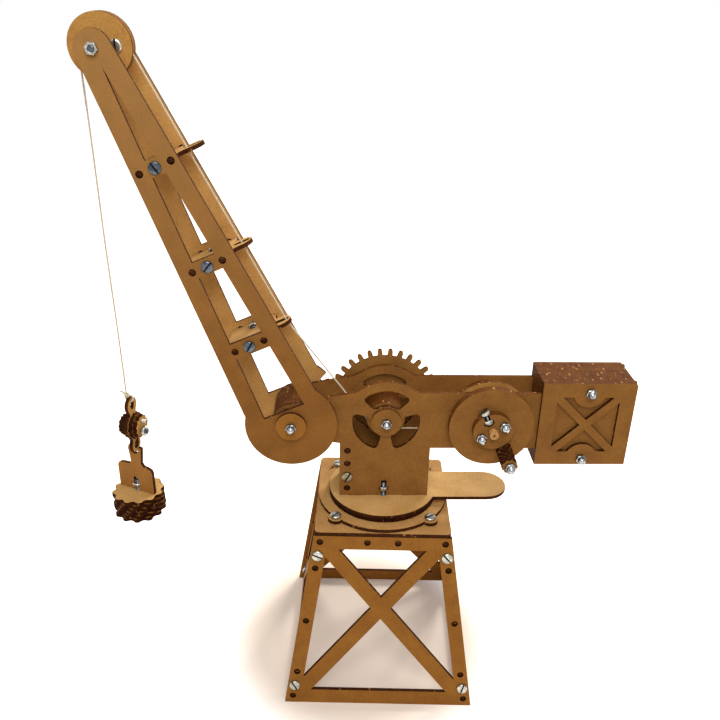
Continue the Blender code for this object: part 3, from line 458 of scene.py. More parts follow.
class Finishes:
    """Every finish of the crane, made once."""

    def __init__(self) -> None:
        """Makes the materials."""
        self.upright = Fibreboard("fibreboard_upright", "#A56F2E", "#875620").material()
        self.side = Fibreboard("fibreboard_side", "#B57F41", "#96652C").material()
        # The jib's plate gets painted top light: paler higher up.
        jib = Fibreboard("fibreboard_jib", "#98672E", "#7A4E21", top_light_colour="#BC9259")
        self.jib_front = jib.material()
        # Painted top light: a paler, less saturated copy of the same board for faces that look up.
        self.level = Fibreboard("fibreboard_toplit_level", "#C3945A", "#A5753E").material()
        self.gear = Fibreboard("fibreboard_gear", "#A27238", "#825626").material()
        # Painted shade: a darker copy of the board for the turret and the parts on it, low down.
        self.turret = Fibreboard("fibreboard_painted_shade_dark", "#9A6B32", "#7D5225").material()
        # Painted light: a paler copy of the board for the pulley's and winch's flanges and the
        # hook.
        self.high = Fibreboard("fibreboard_painted_light", "#C7954F", "#A77538").material()
        # Painted light: the jib's back plate, made paler against the front plate's shade on it.
        self.jib_back = Fibreboard("fibreboard_painted_light_back", "#D7A662", "#B88748").material()
        # Painted light: the palest copy of the board, for the handle, the eye plates and the
        # load's top.
        self.pale = Fibreboard("fibreboard_painted_light_pale", "#D2A668", "#B8894C").material()
        # A darker copy of the board for the covered top margins of stacked boards.
        self.darker_margin = Fibreboard("fibreboard_darker_margin", "#9A6326", "#5C3413").material()
        rim = ("#1A0803", "#42200E", "#8F5C2B")
        tab = ("#0F0502", "#2B1108", "#3A1A0C")
        # Toasted edges: partly the paler edges of the block and arms, partly painted top light on
        # upward edges.
        toasted_and_toplit = ("#47240F", "#744519", "#B5834A")
        self.edge_x = ScorchedEdge("scorched_edge_x", RIGHT).material()
        self.edge_y = ScorchedEdge("scorched_edge_y", FAR).material()
        self.edge_z = ScorchedEdge("scorched_edge_z", UP).material()
        self.rim_x = ScorchedEdge("charred_rim_x", RIGHT, *rim).material()
        self.rim_y = ScorchedEdge("charred_rim_y", FAR, *rim).material()
        self.rim_z = ScorchedEdge("charred_rim_z", UP, *rim).material()
        self.tab = ScorchedEdge("charred_tab_end", FAR, *tab).material()
        self.toast_and_toplight_y = ScorchedEdge("toasted_toplit_edge_y", FAR, *toasted_and_toplit).material()
        tilt = math.radians(JIB_REST_DEG - 90)
        lean = (-math.sin(tilt), 0.0, math.cos(tilt))
        self.edge_jib = ScorchedEdge("scorched_edge_spreader", lean).material()
        self.zinc = PlatedSteel("zinc_plated_steel", "#BDBDB5", 0.26, "#7B7C74").material()
        self.nickel = PlatedSteel("nickel_plated_steel", "#B0B4B6", 0.1, "#3C424A").material()
        # Painted reflection: a dark steel for the jib's screws, for the dark room that they
        # reflect.
        self.dark_reflection_steel = PlatedSteel("steel_painted_dark_reflection", "#5C6570", 0.18, "#2E343B").material()
        self.oiled = PlatedSteel("oiled_zinc_steel", "#8C8670", 0.34, "#756D55").material()
        self.thread = PlatedSteel("rolled_steel_thread", "#5B6068", 0.25, "#33363B").material()
        # Painted shade: the screw slots in a near-black steel, for the shade inside them.
        self.slot = PlatedSteel("steel_slot_painted_shade", "#26282B", 0.45, "#1B1C1E").material()
        self.twine = Twine().material()
        self.beech = TurnedBeech().material()


def hexagon_shape(apothem: float) -> Shape:
    """A hexagon whose corners are turned down a little.

    Args:
        apothem: Half the width across the flats.

    Returns:
        The radius at an angle.
    """
    limit = apothem * 1.125
    part = math.pi / 3

    def reach(angle: float) -> float:
        """The hexagon's radius at an angle."""
        return min(apothem / math.cos(angle % part - part / 2), limit)

    return reach


def scalloped_shape(radius: float, depth: float, lobes: int, turn: float, seed: int) -> Shape:
    """A disc's rim cut in round lobes, with small differences between the lobes.

    Args:
        radius: The mean radius.
        depth: How far a lobe stands out or in.
        lobes: How many there are.
        turn: The disc's turn in radians.
        seed: Chooses the differences.

    Returns:
        The radius at an angle.
    """
    draw = random.Random(seed)
    phase = draw.uniform(0, math.tau)
    drift = draw.uniform(0, math.tau)

    def reach(angle: float) -> float:
        """The rim's radius.

        Args:
            angle: Where on the rim, in radians.

        Returns:
            The radius there.
        """
        here = angle - turn
        lobe = math.cos(lobes * here)
        rounded = math.copysign(abs(lobe) ** 0.8, lobe)
        uneven = 0.16 * math.cos(3 * here + phase) + 0.12 * math.cos(5 * here + drift)
        return radius + depth * (rounded + uneven)

    return reach


@dataclass(frozen=True)
class Ring:
    """One loop of a piece that is built up in loops: its radius, or the shape that gives it."""

    height: float
    reach: float | Shape
    look: int = 0

    def at(self, angle: float) -> float:
        """The loop's radius at an angle."""
        return self.reach(angle) if callable(self.reach) else self.reach


def grow(work: Mesh, edges: Sequence[bmesh.types.BMEdge]) -> list[list]:
    """Extrudes a loop of edges.

    Args:
        work: The mesh.
        edges: The loop.

    Returns:
        The new points, edges and faces.
    """
    grown = bmesh.ops.extrude_edge_only(work, edges=edges)["geom"]
    kinds = (bmesh.types.BMVert, bmesh.types.BMEdge, bmesh.types.BMFace)
    return [[item for item in grown if isinstance(item, kind)] for kind in kinds]


def rings_mesh(rings: Sequence[tuple], steps: int, tip: bool = False) -> Mesh:
    """Builds a piece by extruding a loop through a row of rings.

    Args:
        rings: Each ring's fields, from the first end to the last. If the last equals the first,
            the piece closes on itself and needs no ends.
        steps: Points round each loop.
        tip: Whether the last loop draws together to a point.

    Returns:
        The closed mesh, along its own Z.
    """
    loops = [Ring(*ring) for ring in rings]
    work = bmesh.new()
    verts = bmesh.ops.create_circle(work, cap_ends=False, segments=steps, radius=1.0)["verts"]
    first = edges = work.edges[:]
    for k, loop in enumerate(loops):
        if k:
            verts, edges, faces = grow(work, edges)
            for face in faces:
                face.material_index = loop.look
        for vert in verts:
            angle = math.atan2(vert.co.y, vert.co.x)
            reach = loop.at(angle)
            vert.co = (reach * math.cos(angle), reach * math.sin(angle), loop.height)
    if loops[0] == loops[-1]:
        bmesh.ops.remove_doubles(work, verts=work.verts, dist=0.001)
    else:
        ends = bmesh.ops.edgeloop_fill(work, edges=first)["faces"]
        if tip:
            bmesh.ops.pointmerge(work, verts=verts, merge_co=(0, 0, loops[-1].height))
        else:
            ends += bmesh.ops.edgeloop_fill(work, edges=edges)["faces"]
        for face in ends:
            face.material_index = 0
    bmesh.ops.recalc_face_normals(work, faces=work.faces)
    return work


def joined(parts: Iterable[Mesh]) -> Mesh:
    """Puts several meshes into one, and frees them.

    Args:
        parts: The meshes.

    Returns:
        One mesh of them all.
    """
    whole = bmesh.new()
    for part in parts:
        carried = bpy.data.meshes.new("carried")
        part.to_mesh(carried)
        part.free()
        whole.from_mesh(carried)
        bpy.data.meshes.remove(carried)
    return whole


def polar(radius: float, degrees: float, y: float = 0.0) -> Vector:
    """A point at an angle in the plane of the crane's front."""
    turn = math.radians(degrees)
    return Vector((radius * math.cos(turn), y, radius * math.sin(turn)))


def facing(place: Sequence[float], towards: Sequence[float], roll: float = 0.0) -> Matrix:
    """The placing that turns a piece's own Z towards a direction.

    Args:
        place: Where the piece's zero goes.
        towards: The direction of its Z.
        roll: Its turn about that direction, in degrees.

    Returns:
        The placing, in millimetres.
    """
    turn = Vector(towards).to_track_quat("Z", "Y").to_matrix().to_4x4()
    return Matrix.Translation(place) @ turn @ turned(roll)


def moved(work: Mesh, placing: Matrix) -> Mesh:
    """Moves a mesh that is still being worked on, and returns it."""
    bmesh.ops.transform(work, matrix=placing, verts=work.verts)
    return work


def add_piece(
    name: str,
    work: Mesh,
    placing: Matrix,
    looks: Sequence[Look],
    body: Body | None,
    node: str | None = None,
    sharp_deg: float = 35.0,
) -> Piece:
    """Turns a mesh in millimetres into a finished piece in the row frame.

    Args:
        name: The piece's name.
        work: Its mesh, which is freed.
        placing: From the mesh's own frame to this script's.
        looks: Its materials.
        body: What it rides on, or None, which leaves it on no body.
        node: The frame's node that it replaces, if any.
        sharp_deg: The angle past which an edge stays sharp.

    Returns:
        The object, at the origin with its place in its mesh.
    """
    moved(work, ROW @ placing)
    bmesh.ops.recalc_face_normals(work, faces=work.faces)
    mesh = bpy.data.meshes.new(name)
    work.to_mesh(mesh)
    work.free()
    for look in looks:
        mesh.materials.append(look)
    mesh.shade_smooth()
    mesh.set_sharp_from_angle(angle=math.radians(sharp_deg))
    made = bpy.data.objects.new(name, mesh)
    bpy.context.scene.collection.objects.link(made)
    if body is not None:
        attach(made, body.value)
    if node is not None:
        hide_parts(node)
    LOG.info("%s: %d faces", name, len(mesh.polygons))
    return made


@dataclass(frozen=True)
class ThreadedRod:
    """An M4 rod's thread, drawn as rings 0.7 mm apart with chamfered ends."""

    length: float
    radius: float = 2.0
    root: float = 1.72
    lead: float = 0.7
    chamfer: float = 0.3

    def rings(self) -> list[tuple]:
        """Draws the rod's loops, without its near end.

        Returns:
            The loops, from the far end at minus the length up to zero.
        """
        loops = [(-self.length, self.root - self.chamfer)]
        height = -self.length + self.lead / 2
        while height < -self.lead:
            loops += [(height, self.radius), (height + self.lead / 2, self.root)]
            height += self.lead
        return loops + [(0.0, self.radius)]

    def mesh(self) -> Mesh:
        """Builds the bare rod, its near end chamfered at zero."""
        return rings_mesh(self.rings() + [(self.chamfer, self.root - self.chamfer)], 16)


@dataclass(frozen=True)
class SlottedScrew:
    """An M4 cheese-head screw with a single slot, its bearing face at zero, head upwards."""

    shank: float
    head_radius: float = 4.0
    head_height: float = 2.3
    slot_half: float = 0.6
    slot_depth: float = 1.1
    # How near a point must be to a cut to count as on it.
    near: float = 0.001

    def mesh(self) -> Mesh:
        """Turns the blank and cuts its slot.

        Returns:
            The screw, with the looks of its head, slot and shank in this order.
        """
        head, top = self.head_radius, self.head_height
        loops = [(0.0, head - 0.2), (0.15, head), (top - 0.6, head), (top - 0.25, head - 0.25)]
        loops += [(top - 0.05, head - 0.8), (top, head - 1.6)]
        work = rings_mesh(ThreadedRod(self.shank).rings() + loops, 28)
        floor = top - self.slot_depth
        self.cut_slot(work, floor)
        edge = 10 * self.near
        for face in work.faces:
            middle = face.calc_center_median()
            if middle.z < -edge:
                face.material_index = 2
            elif abs(middle.x) < self.slot_half + edge and floor - edge < middle.z < top - edge:
                face.material_index = 1
        return work

    def cut_slot(self, work: Mesh, floor: float) -> None:
        """Cuts the driver's slot right across the head.

        Args:
            work: The turned blank.
            floor: The height of the slot's floor.
        """
        half, near = self.slot_half, self.near
        for point, normal in (((half, 0, 0), RIGHT), ((-half, 0, 0), RIGHT), ((0, 0, floor), UP)):
            whole = work.verts[:] + work.edges[:] + work.faces[:]
            bmesh.ops.bisect_plane(work, geom=whole, dist=0.0001, plane_co=point, plane_no=normal)
        doomed = []
        for face in work.faces:
            middle = face.calc_center_median()
            if abs(middle.x) < half - near and middle.z > floor + near:
                doomed.append(face)
        bmesh.ops.delete(work, geom=doomed, context="FACES")
        for side in (half, -half):
            ends = [
                vert
                for vert in work.verts
                if abs(vert.co.x - side) < near
                and abs(vert.co.z - floor) < near
                and vert.co.xy.length > self.head_radius * 0.8
            ]
            bmesh.ops.contextual_create(work, geom=ends)
            wall = [
                edge
                for edge in work.edges
                if len(edge.link_faces) < 2
                and all(abs(v.co.x - side) < near and v.co.z > floor - near for v in edge.verts)
            ]
            bmesh.ops.edgeloop_fill(work, edges=wall)
        rest = [edge for edge in work.edges if len(edge.link_faces) < 2]
        bmesh.ops.edgeloop_fill(work, edges=rest)


@dataclass(frozen=True)
class HexNut:
    """An M4 hexagon nut, its lower face at zero."""

    height: float = 3.2
    apothem: float = 3.5
    bore: float = 2.05
    ease: float = 0.4

    def mesh(self) -> Mesh:
        """Builds the nut, with turned-down corners and a countersunk bore.

        Returns:
            The nut.
        """
        flats, face = hexagon_shape(self.apothem), self.apothem - 0.1
        low, high, mouth = self.ease, self.height - self.ease, self.bore + self.ease
        loops = [(0.0, mouth), (0.0, face), (low, flats), (high, flats), (self.height, face)]
        loops += [(self.height, mouth), (high, self.bore), (low, self.bore), (0.0, mouth)]
        return rings_mesh(loops, 36)


@dataclass(frozen=True)
class AcornNut:
    """An M4 domed nut, its lower face at zero, dome upwards."""

    height: float = 7.0
    apothem: float = 3.5
    dome_foot: float = 3.5
    dome_radius: float = 3.15

    def mesh(self) -> Mesh:
        """Builds the hexagon, a fine neck and the polished dome.

        Returns:
            The nut.
        """
        flats, face = hexagon_shape(self.apothem), self.apothem - 0.1
        loops = [(0.0, face), (0.4, flats), (2.6, flats), (2.95, face), (3.1, 2.95)]
        for k in range(9):
            turn = math.radians(10.0 * k)
            rise = self.dome_foot + (self.height - self.dome_foot) * math.sin(turn)
            loops.append((rise, self.dome_radius * math.cos(turn)))
        return rings_mesh(loops + [(self.height, 0.2)], 36, tip=True)


@dataclass(frozen=True)
class ScallopedStack:
    """Round boards with scalloped rims, glued out of register."""

    radii: tuple[float, ...]
    depth: float
    lobes: int
    turn_step: float
    seed: int
    bore: float = 0.0
    ease: float = 0.14
    # The glue line between two boards, and the darker margin that a smaller one leaves on the
    # board beneath.
    glue: float = 0.04
    darker_margin: float = 2.6

    def board(self, number: int) -> Mesh:
        """Builds one board.

        Args:
            number: Its place in the stack.

        Returns:
            The board, its rim in the second material and, where another board covers it, a darker
            margin in the third.
        """
        turn, seed = math.radians(self.turn_step * number), self.seed + number
        sizes = ((0.0, self.depth), (self.ease, self.depth), (self.darker_margin, 0.2))
        rim, eased, margin = (
            scalloped_shape(self.radii[number] - inset, depth, self.lobes, turn, seed)
            for inset, depth in sizes
        )
        low, high = number * PITCH, number * PITCH + PITCH - self.glue
        # Every board but the top one gets the darker top margin.
        margin_look = 0 if number == len(self.radii) - 1 else 2
        loops = [(low, eased), (low + self.ease, rim, 1), (high - self.ease, rim, 1)]
        loops += [(high, eased, 1), (high, margin, margin_look)]
        if self.bore:
            loops = [(low, self.bore), *loops, (high, self.bore), (low, self.bore)]
        return rings_mesh(loops, self.lobes * 12)

    def mesh(self) -> Mesh:
        """Builds the whole stack, from zero upwards."""
        return joined(self.board(k) for k in range(len(self.radii)))


@dataclass(frozen=True)
class Fasteners:
    """Puts screws, rods, nuts and stacks on one assembly, each as its own piece.

    The draws are shared by all the assemblies, so that each screw's slot lies at its own angle.
    """

    finishes: Finishes
    draw: random.Random
    frame: Matrix
    body: Body

    def metal(
        self,
        name: str,
        work: Mesh,
        looks: Sequence[Look],
        placing: Matrix,
        node: str | None = None,
    ) -> None:
        """Adds one metal piece at its placing in the assembly."""
        add_piece(name, work, self.frame @ placing, looks, self.body, node)

    def screw(
        self,
        name: str,
        spot: Sequence[float],
        towards: Sequence[float],
        shank: float,
        look: Look | None = None,
        node: str | None = None,
    ) -> None:
        """Adds a slotted screw whose slot lies at a chance angle.

        Args:
            name: The screw's name.
            spot: Its bearing face's middle.
            towards: The way that its head looks.
            shank: Its length under the head.
            look: Its head's finish, if not plain zinc.
            node: The node that it replaces, if any.
        """
        turn = Matrix.Rotation(self.draw.uniform(0, math.pi), 4, "Z")
        made = self.finishes
        looks = [look or made.zinc, made.slot, made.thread]
        self.metal(name, SlottedScrew(shank).mesh(), looks, facing(spot, towards) @ turn, node)

    def nut(
        self, name: str, spot: Sequence[float], towards: Sequence[float], roll: float = 0.0
    ) -> None:
        """Adds a hexagon nut, turned by the roll in degrees."""
        self.metal(name, HexNut().mesh(), [self.finishes.zinc], facing(spot, towards, roll))

    def acorn(
        self,
        name: str,
        spot: Sequence[float],
        towards: Sequence[float],
        roll: float = 0.0,
        node: str | None = None,
    ) -> None:
        """Adds a domed nut, turned by the roll in degrees."""
        placing = facing(spot, towards, roll)
        self.metal(name, AcornNut().mesh(), [self.finishes.nickel], placing, node)

    def rod(
        self,
        name: str,
        spot: Sequence[float],
        towards: Sequence[float],
        length: float,
        node: str | None = None,
    ) -> None:
        """Adds a bare threaded rod that runs back from its near end."""
        placing = facing(spot, towards)
        self.metal(name, ThreadedRod(length).mesh(), [self.finishes.thread], placing, node)

    def stack(
        self, name: str, made: ScallopedStack, looks: Sequence[Look], placing: Matrix, node: str
    ) -> None:
        """Adds a stack of scalloped boards, given its face's finish and its rim's."""
        looks = [*looks, self.finishes.darker_margin]
        add_piece(name, made.mesh(), self.frame @ placing, looks, self.body, node)

    def tab_ends(self, name: str, places: Iterable[Matrix]) -> None:
        """Fills the round holes behind the square tab ends with their charred shoulders.

        Args:
            name: The name of the one piece that they make.
            places: Each hole's mouth, looking out of the board.
        """
        radius, mouth, depth, ease = 2.42, -0.75, -2.4, 0.1
        loops = [(depth, radius - ease), (depth + ease, radius)]
        loops += [(mouth - ease, radius), (mouth, radius - ease)]
        work = joined(moved(rings_mesh(loops, 16), self.frame @ place) for place in places)
        look = [self.finishes.tab]
        add_piece(name, work, Matrix.Identity(4), look, self.body)


@dataclass(frozen=True)
class Assembly:
    """A group of fasteners that one kit adds."""

    kit: Fasteners


@dataclass(frozen=True)
class Tower(Assembly):
    """The tower's screws, rods and nuts."""

    levels: tuple[float, float] = (19.1, 132.9)
    side_inset: float = 3.8
    tab_levels: tuple[float, ...] = (8.2, 30.0, 75.4, 121.0, 143.1)
    shelf_tab: tuple[float, float] = (11.2, 8.1)
    ring_screw_radius: float = 49.4
    shelf_bottom: float = -9.4
    # A panel's outer face looks out and a little up. Its board is deeper, measured level.
    out: Point = (0.0, -math.cos(TOWER_LEAN), math.sin(TOWER_LEAN))
    depth: float = PITCH / math.cos(TOWER_LEAN)

    def edge(self, level: float) -> Point:
        """The middle of the side panel's edge on the front panel's face.

        Args:
            level: The distance down the slope.

        Returns:
            The point on the right-hand side.
        """
        half = TOWER_HALF_TOP + level * math.sin(TOWER_LEAN)
        return (half - self.side_inset - self.depth / 2, -half, -level * math.cos(TOWER_LEAN))

    def build(self) -> None:
        """Adds the wide panels' fasteners and tab ends, the ring screws and the pivot's nut."""
        places = []
        for side, degrees in (("front", 0.0), ("back", 180.0)):
            panel = turned(degrees)
            self.corner_screws(side, replace(self.kit, frame=self.kit.frame @ panel))
            spots = [self.edge(level) for level in self.tab_levels]
            x, level = self.shelf_tab
            for x, y, z in spots + [(x, *self.edge(level)[1:])]:
                for sign in (-1, 1):
                    places.append(panel @ facing((sign * x, y + GAP / 2, z), self.out))
        self.kit.tab_ends("tower_tab_ends", places)
        self.ring_screws()
        replace(self.kit, frame=TURRET_FRAME).nut("slew_pivot_nut", (0, 0, 3 * PITCH), UP, 12)

    def corner_screws(self, side: str, kit: Fasteners) -> None:
        """Adds the four screws that hold one wide panel to the narrow ones.

        Args:
            side: Front or back.
            kit: Makes the fasteners in that panel's frame.
        """
        for row, level in zip(("upper", "lower"), self.levels):
            x, y, z = self.edge(level)
            for hand, sign in (("left", -1), ("right", 1)):
                name = f"tower_{side}_{row}_{hand}"
                kit.screw(f"{name}_screw", (sign * x, y + GAP / 2, z), self.out, 1.6)
                kit.rod(f"{name}_rod", (sign * x, y + 1.9, z), NEAR, 10.2)
                kit.nut(f"{name}_nut", (sign * x, y + self.depth + GAP + 7.75, z), NEAR)

    def ring_screws(self) -> None:
        """Adds the four screws through the ring's ears, with their nuts under the shelf."""
        for k in range(4):
            turn = math.radians(45 + 90 * k)
            x, y = self.ring_screw_radius * math.cos(turn), self.ring_screw_radius * math.sin(turn)
            self.kit.screw(f"ring_screw_{k + 1}", (x, y, PITCH - 0.1), UP, 16.8)
            self.kit.nut(f"ring_nut_{k + 1}", (x, y, self.shelf_bottom - 0.05), DOWN, 20 * k)


@dataclass(frozen=True)
class Turret(Assembly):
    """The turret's rods, nuts and screws, with the counterweight's frames and bolts."""

    plate_front: float = 14.85
    wall_x: float = -27.8
    wall_screw_z: float = 25.8
    wall_tabs_z: tuple[float, ...] = (48.4, 37.3, 15.4)
    foot_y: float = 4.5 * PITCH
    block_face: float = 18.0
    block_bolt_x: float = 145.4
    block_bolts_z: tuple[float, float] = (99.2, 44.4)
    rail: float = 11.2
    brace: float = 5.8
    boss_radius: float = 12.0
    clip: float = 1.5

    def build(self) -> None:
        """Adds the middle axle, the jib's pivot, the wall, the feet and the counterweight."""
        kit = self.kit
        kit.rod("middle_axle_rod", (0, -21.3, AXIS_Z), NEAR, 50.8, "center_axle")
        kit.acorn("middle_axle_acorn", (0, -18, AXIS_Z), NEAR, 8, "center_acorn_nut")
        kit.nut("middle_axle_back_nut", (0, 24.0, AXIS_Z), FAR, 20)
        kit.rod("jib_pivot_rod", (PIVOT_X, -27.5, AXIS_Z), NEAR, 55.0, "jib_pivot_bolt")
        front = (PIVOT_X, -24.2, AXIS_Z)
        kit.acorn("jib_pivot_acorn_front", front, NEAR, 3, "jib_acorn_nut_front")
        kit.acorn("jib_pivot_acorn_back", (PIVOT_X, 24.2, AXIS_Z), FAR, 16)
        places = []
        for side, sign in SIDES:
            out = (0, sign, 0)
            head = (self.wall_x, sign * self.plate_front, self.wall_screw_z)
            kit.screw(f"wall_screw_{side}", head, out, 11.5, kit.finishes.oiled)
            kit.nut(f"wall_nut_{side}", (self.wall_x, sign * 3.98, self.wall_screw_z), out, 90)
            for z in self.wall_tabs_z:
                places.append(facing((self.wall_x, sign * self.plate_front, z), out))
        kit.tab_ends("turret_tab_ends", places)
        for side, sign in SIDES:
            kit.rod(f"foot_bolt_{side}", (0, sign * self.foot_y, 20.6), UP, 20.0)
            kit.nut(f"foot_nut_{side}", (0, sign * self.foot_y, 13.65), UP)
        for row, z in zip(("upper", "lower"), self.block_bolts_z):
            x, y, node = self.block_bolt_x, self.block_face, f"counterweight_bolt_{row}"
            kit.screw(f"block_{row}_screw", (x, y, z), FAR, 40.0, node=node)
            kit.acorn(f"block_{row}_acorn", (x, -y, z), NEAR, 11)
        for side, _ in SIDES:
            self.block_frame(side)

    def frame_outlines(self, low: Vector, high: Vector) -> list[list[tuple[float, float]]]:
        """Draws one crossed frame of the counterweight.

        Args:
            low: The frame's lowest corner.
            high: Its highest corner.

        Returns:
            Its rim and its openings, in millimetres across and up.
        """
        rim = [(low.x, low.z), (high.x, low.z), (high.x, high.z - self.clip)]
        outlines = [rim + [(high.x - self.clip, high.z), (low.x, high.z)]]
        cx, cz = (low.x + high.x) / 2, (low.z + high.z) / 2
        wide, tall = (high.x - low.x) / 2 - self.rail, (high.z - low.z) / 2 - self.rail
        near = self.brace / math.sqrt(2)
        corner = tall - near
        for side, bolt in zip((1, -1), self.block_bolts_z):
            points = [(near, 0.0), (wide, wide - near), (wide, near - wide)]
            outlines.append([(cx + side * x, cz + side * z) for x, z in points])
            bend = math.acos(abs(bolt - cz - side * tall) / self.boss_radius)
            opening = [(cx, cz + side * near), (cx + side * corner, cz + side * tall)]
            for k in range(13):
                angle = -side * math.pi / 2 + bend * (1 - k / 6)
                across = self.block_bolt_x + self.boss_radius * math.cos(angle)
                opening.append((across, bolt + self.boss_radius * math.sin(angle)))
            outlines.append(opening + [(cx - side * corner, cz + side * tall)])
        return outlines

    def block_frame(self, side: str) -> None:
        """Adds one crossed frame, its bosses joined to the rails.

        Args:
            side: Front or back.
        """
        node = f"counterweight_{side}_frame"
        low, high = (ROW.inverted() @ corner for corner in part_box(node))
        work = bmesh.new()
        for outline in self.frame_outlines(low, high):
            loop = [work.verts.new((x, low.y, z)) for x, z in outline]
            for here, there in zip(loop, loop[1:] + loop[:1]):
                work.edges.new((here, there))
        bmesh.ops.triangle_fill(work, use_beauty=True, edges=work.edges[:])
        grown = bmesh.ops.extrude_face_region(work, geom=work.faces[:])["geom"]
        lifted = [part for part in grown if isinstance(part, bmesh.types.BMVert)]
        bmesh.ops.translate(work, verts=lifted, vec=(0, high.y - low.y, 0))
        made, name = self.kit.finishes, f"block_{side}_frame"
        looks = [made.turret, made.edge_y, made.toast_and_toplight_y]
        plate = add_piece(name, work, self.kit.frame, looks, self.kit.body, node)
        mark_facets(plate.data, Vector(FAR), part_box(node)[1].z - MM)


@dataclass(frozen=True)
class Jib(Assembly):
    """The jib's screws, rods and nuts, with the head pulley's."""

    spreader_levels: tuple[float, float, float] = (67.7, 129.7, 199.0)
    plate_face: float = 20.85
    nut_face: float = 10.0
    tab_w: float = 10.9
    clamp_radius: float = 9.5
    clamp_turns: tuple[float, float] = (-22.0, 158.0)
    flange_face: float = 4.35

    def build(self) -> None:
        """Adds the spreaders' fasteners and tab ends, the head bolt and the pulley's clamps."""
        kit, places = self.kit, []
        for row, level in zip(("lower", "middle", "upper"), self.spreader_levels):
            for side, sign in SIDES:
                face, out = sign * self.plate_face, (0, sign, 0)
                name = f"spreader_{row}_{side}"
                places += [facing((w, face, level), out) for w in (-self.tab_w, self.tab_w)]
                look = kit.finishes.dark_reflection_steel
                kit.screw(f"{name}_screw", (0, face, level), out, 12.8, look)
                kit.nut(f"{name}_nut", (0, sign * self.nut_face, level), out)
        kit.tab_ends("jib_tab_ends", places)
        kit.screw("head_screw", (0, 21.0, JIB_LENGTH), FAR, 44.6, node="head_bolt")
        kit.nut("head_nut", (0, -21.0, JIB_LENGTH), NEAR, 25)
        kit = replace(kit, body=Body.PULLEY)
        head = Vector((0, 0, JIB_LENGTH))
        for k, turn in enumerate(self.clamp_turns):
            spot = head + polar(self.clamp_radius, turn, -self.flange_face)
            kit.screw(f"pulley_clamp_{k + 1}", spot, NEAR, 12.8)
            spot = head + polar(self.clamp_radius, turn, self.flange_face)
            kit.nut(f"pulley_nut_{k + 1}", spot, FAR)


@dataclass(frozen=True)
class Winch(Assembly):
    """The crank's bolts and nuts, and the scalloped knob."""

    hub_bolt_radius: float = 9.3
    hub_bolt_turns: tuple[float, float] = (31.0, -150.0)
    hub_face: float = 29.85
    radial_turn: float = 115.0
    clamp_head: float = 14.9
    clamp_nut: float = 6.75
    knob_x: float = 10.2
    knob_z: float = -17.5
    knob_foot: float = -24.0
    knob_boards: int = 8

    def build(self) -> None:
        """Adds the hub's two domed nuts and its radial clamping bolt, and the knob."""
        kit = self.kit
        for k, turn in enumerate(self.hub_bolt_turns):
            nut = polar(self.hub_bolt_radius, turn, -self.hub_face - 0.1)
            kit.acorn(f"hub_acorn_{k + 1}", nut, NEAR, 17 * k)
            rod = polar(self.hub_bolt_radius, turn, -self.hub_face - 3.0)
            kit.rod(f"hub_rod_{k + 1}", rod, NEAR, 14.4)
        out, middle = polar(1.0, self.radial_turn), Vector((0, -9 * PITCH, 0))
        kit.screw("hub_clamp_screw", middle + out * self.clamp_head, out, 9.6)
        kit.nut("hub_clamp_nut", middle + out * self.clamp_nut, out)
        self.knob()

    def knob(self) -> None:
        """Adds the knob's boards, its bolt and its domed nut."""
        kit, made = self.kit, self.kit.finishes
        x, z, foot = self.knob_x, self.knob_z, self.knob_foot
        boards = ScallopedStack((5.5,) * self.knob_boards, 0.32, 9, 17.0, 5, bore=2.2)
        placing, looks = facing((x, foot, z), NEAR), (made.gear, made.rim_y)
        spun = replace(kit, body=Body.KNOB)
        spun.stack("knob_boards", boards, looks, placing, "crank_knob")
        kit.screw("knob_screw", (x, -17.9, z), FAR, 34.2, node="crank_knob_bolt")
        end = foot - self.knob_boards * PITCH - 0.25
        kit.acorn("knob_acorn", (x, end, z), NEAR, 9)


@dataclass(frozen=True)
class HookBlock(Assembly):
    """The hanging block's scalloped boards and bolts."""

    z: float = 61.5
    left_radii: tuple[float, float] = (8.7, 7.3)
    right_radii: tuple[float, float] = (9.5, 8.2)
    face: float = 2.5 * PITCH + 0.05
    # How far the bolt and the thin rod lie from the block's middle, in Y and Z.
    bolt: tuple[float, float] = (-0.6, -3.4)
    thin: tuple[float, float] = (0.8, 4.2)
    thin_radius: float = 1.5

    def build(self) -> None:
        """Adds the block's boards, its bolt and nut and the thin rod."""
        kit, face = self.kit, self.face
        made = kit.finishes
        for side, radii, sign in (("left", self.left_radii, -1), ("right", self.right_radii, 1)):
            boards = ScallopedStack(radii, 0.5, 12, 11.0, 20 + sign)
            placing = facing((sign * (PITCH / 2 + 0.02), 0, self.z), (sign, 0, 0))
            looks, node = (made.high, made.rim_x), f"hook_discs_{side}"
            kit.stack(f"hook_boards_{side}", boards, looks, placing, node)
        y, z = self.bolt[0], self.z + self.bolt[1]
        kit.screw("hook_lower_screw", (-face, y, z), LEFT, 2 * face + 4.8)
        kit.nut("hook_lower_nut", (face, y, z), RIGHT, 14)
        rod = ThreadedRod(2 * face + 4.6, self.thin_radius, self.thin_radius - 0.2).mesh()
        placing = facing((face + 4.2, self.thin[0], self.z + self.thin[1]), RIGHT)
        kit.metal("hook_upper_rod", rod, [made.zinc], placing)


@dataclass(frozen=True)
class Load(Assembly):
    """The load's scalloped boards and bolt."""

    top: float = 4.4
    radius: float = 18.4
    boards: int = 6

    def build(self) -> None:
        """Adds the load's boards, bolt and nut."""
        kit, low = self.kit, self.top - self.boards * PITCH
        boards = ScallopedStack((self.radius,) * self.boards, 1.15, 12, 8.0, 60)
        looks = (kit.finishes.pale, kit.finishes.rim_z)
        placing = Matrix.Translation((0, 0, low + 0.02))
        kit.stack("load_boards", boards, looks, placing, "load_discs")
        kit.screw("load_screw", (0, 0, low), DOWN, 27.6)
        kit.nut("load_nut", (0, 0, self.top + 3.35), UP)


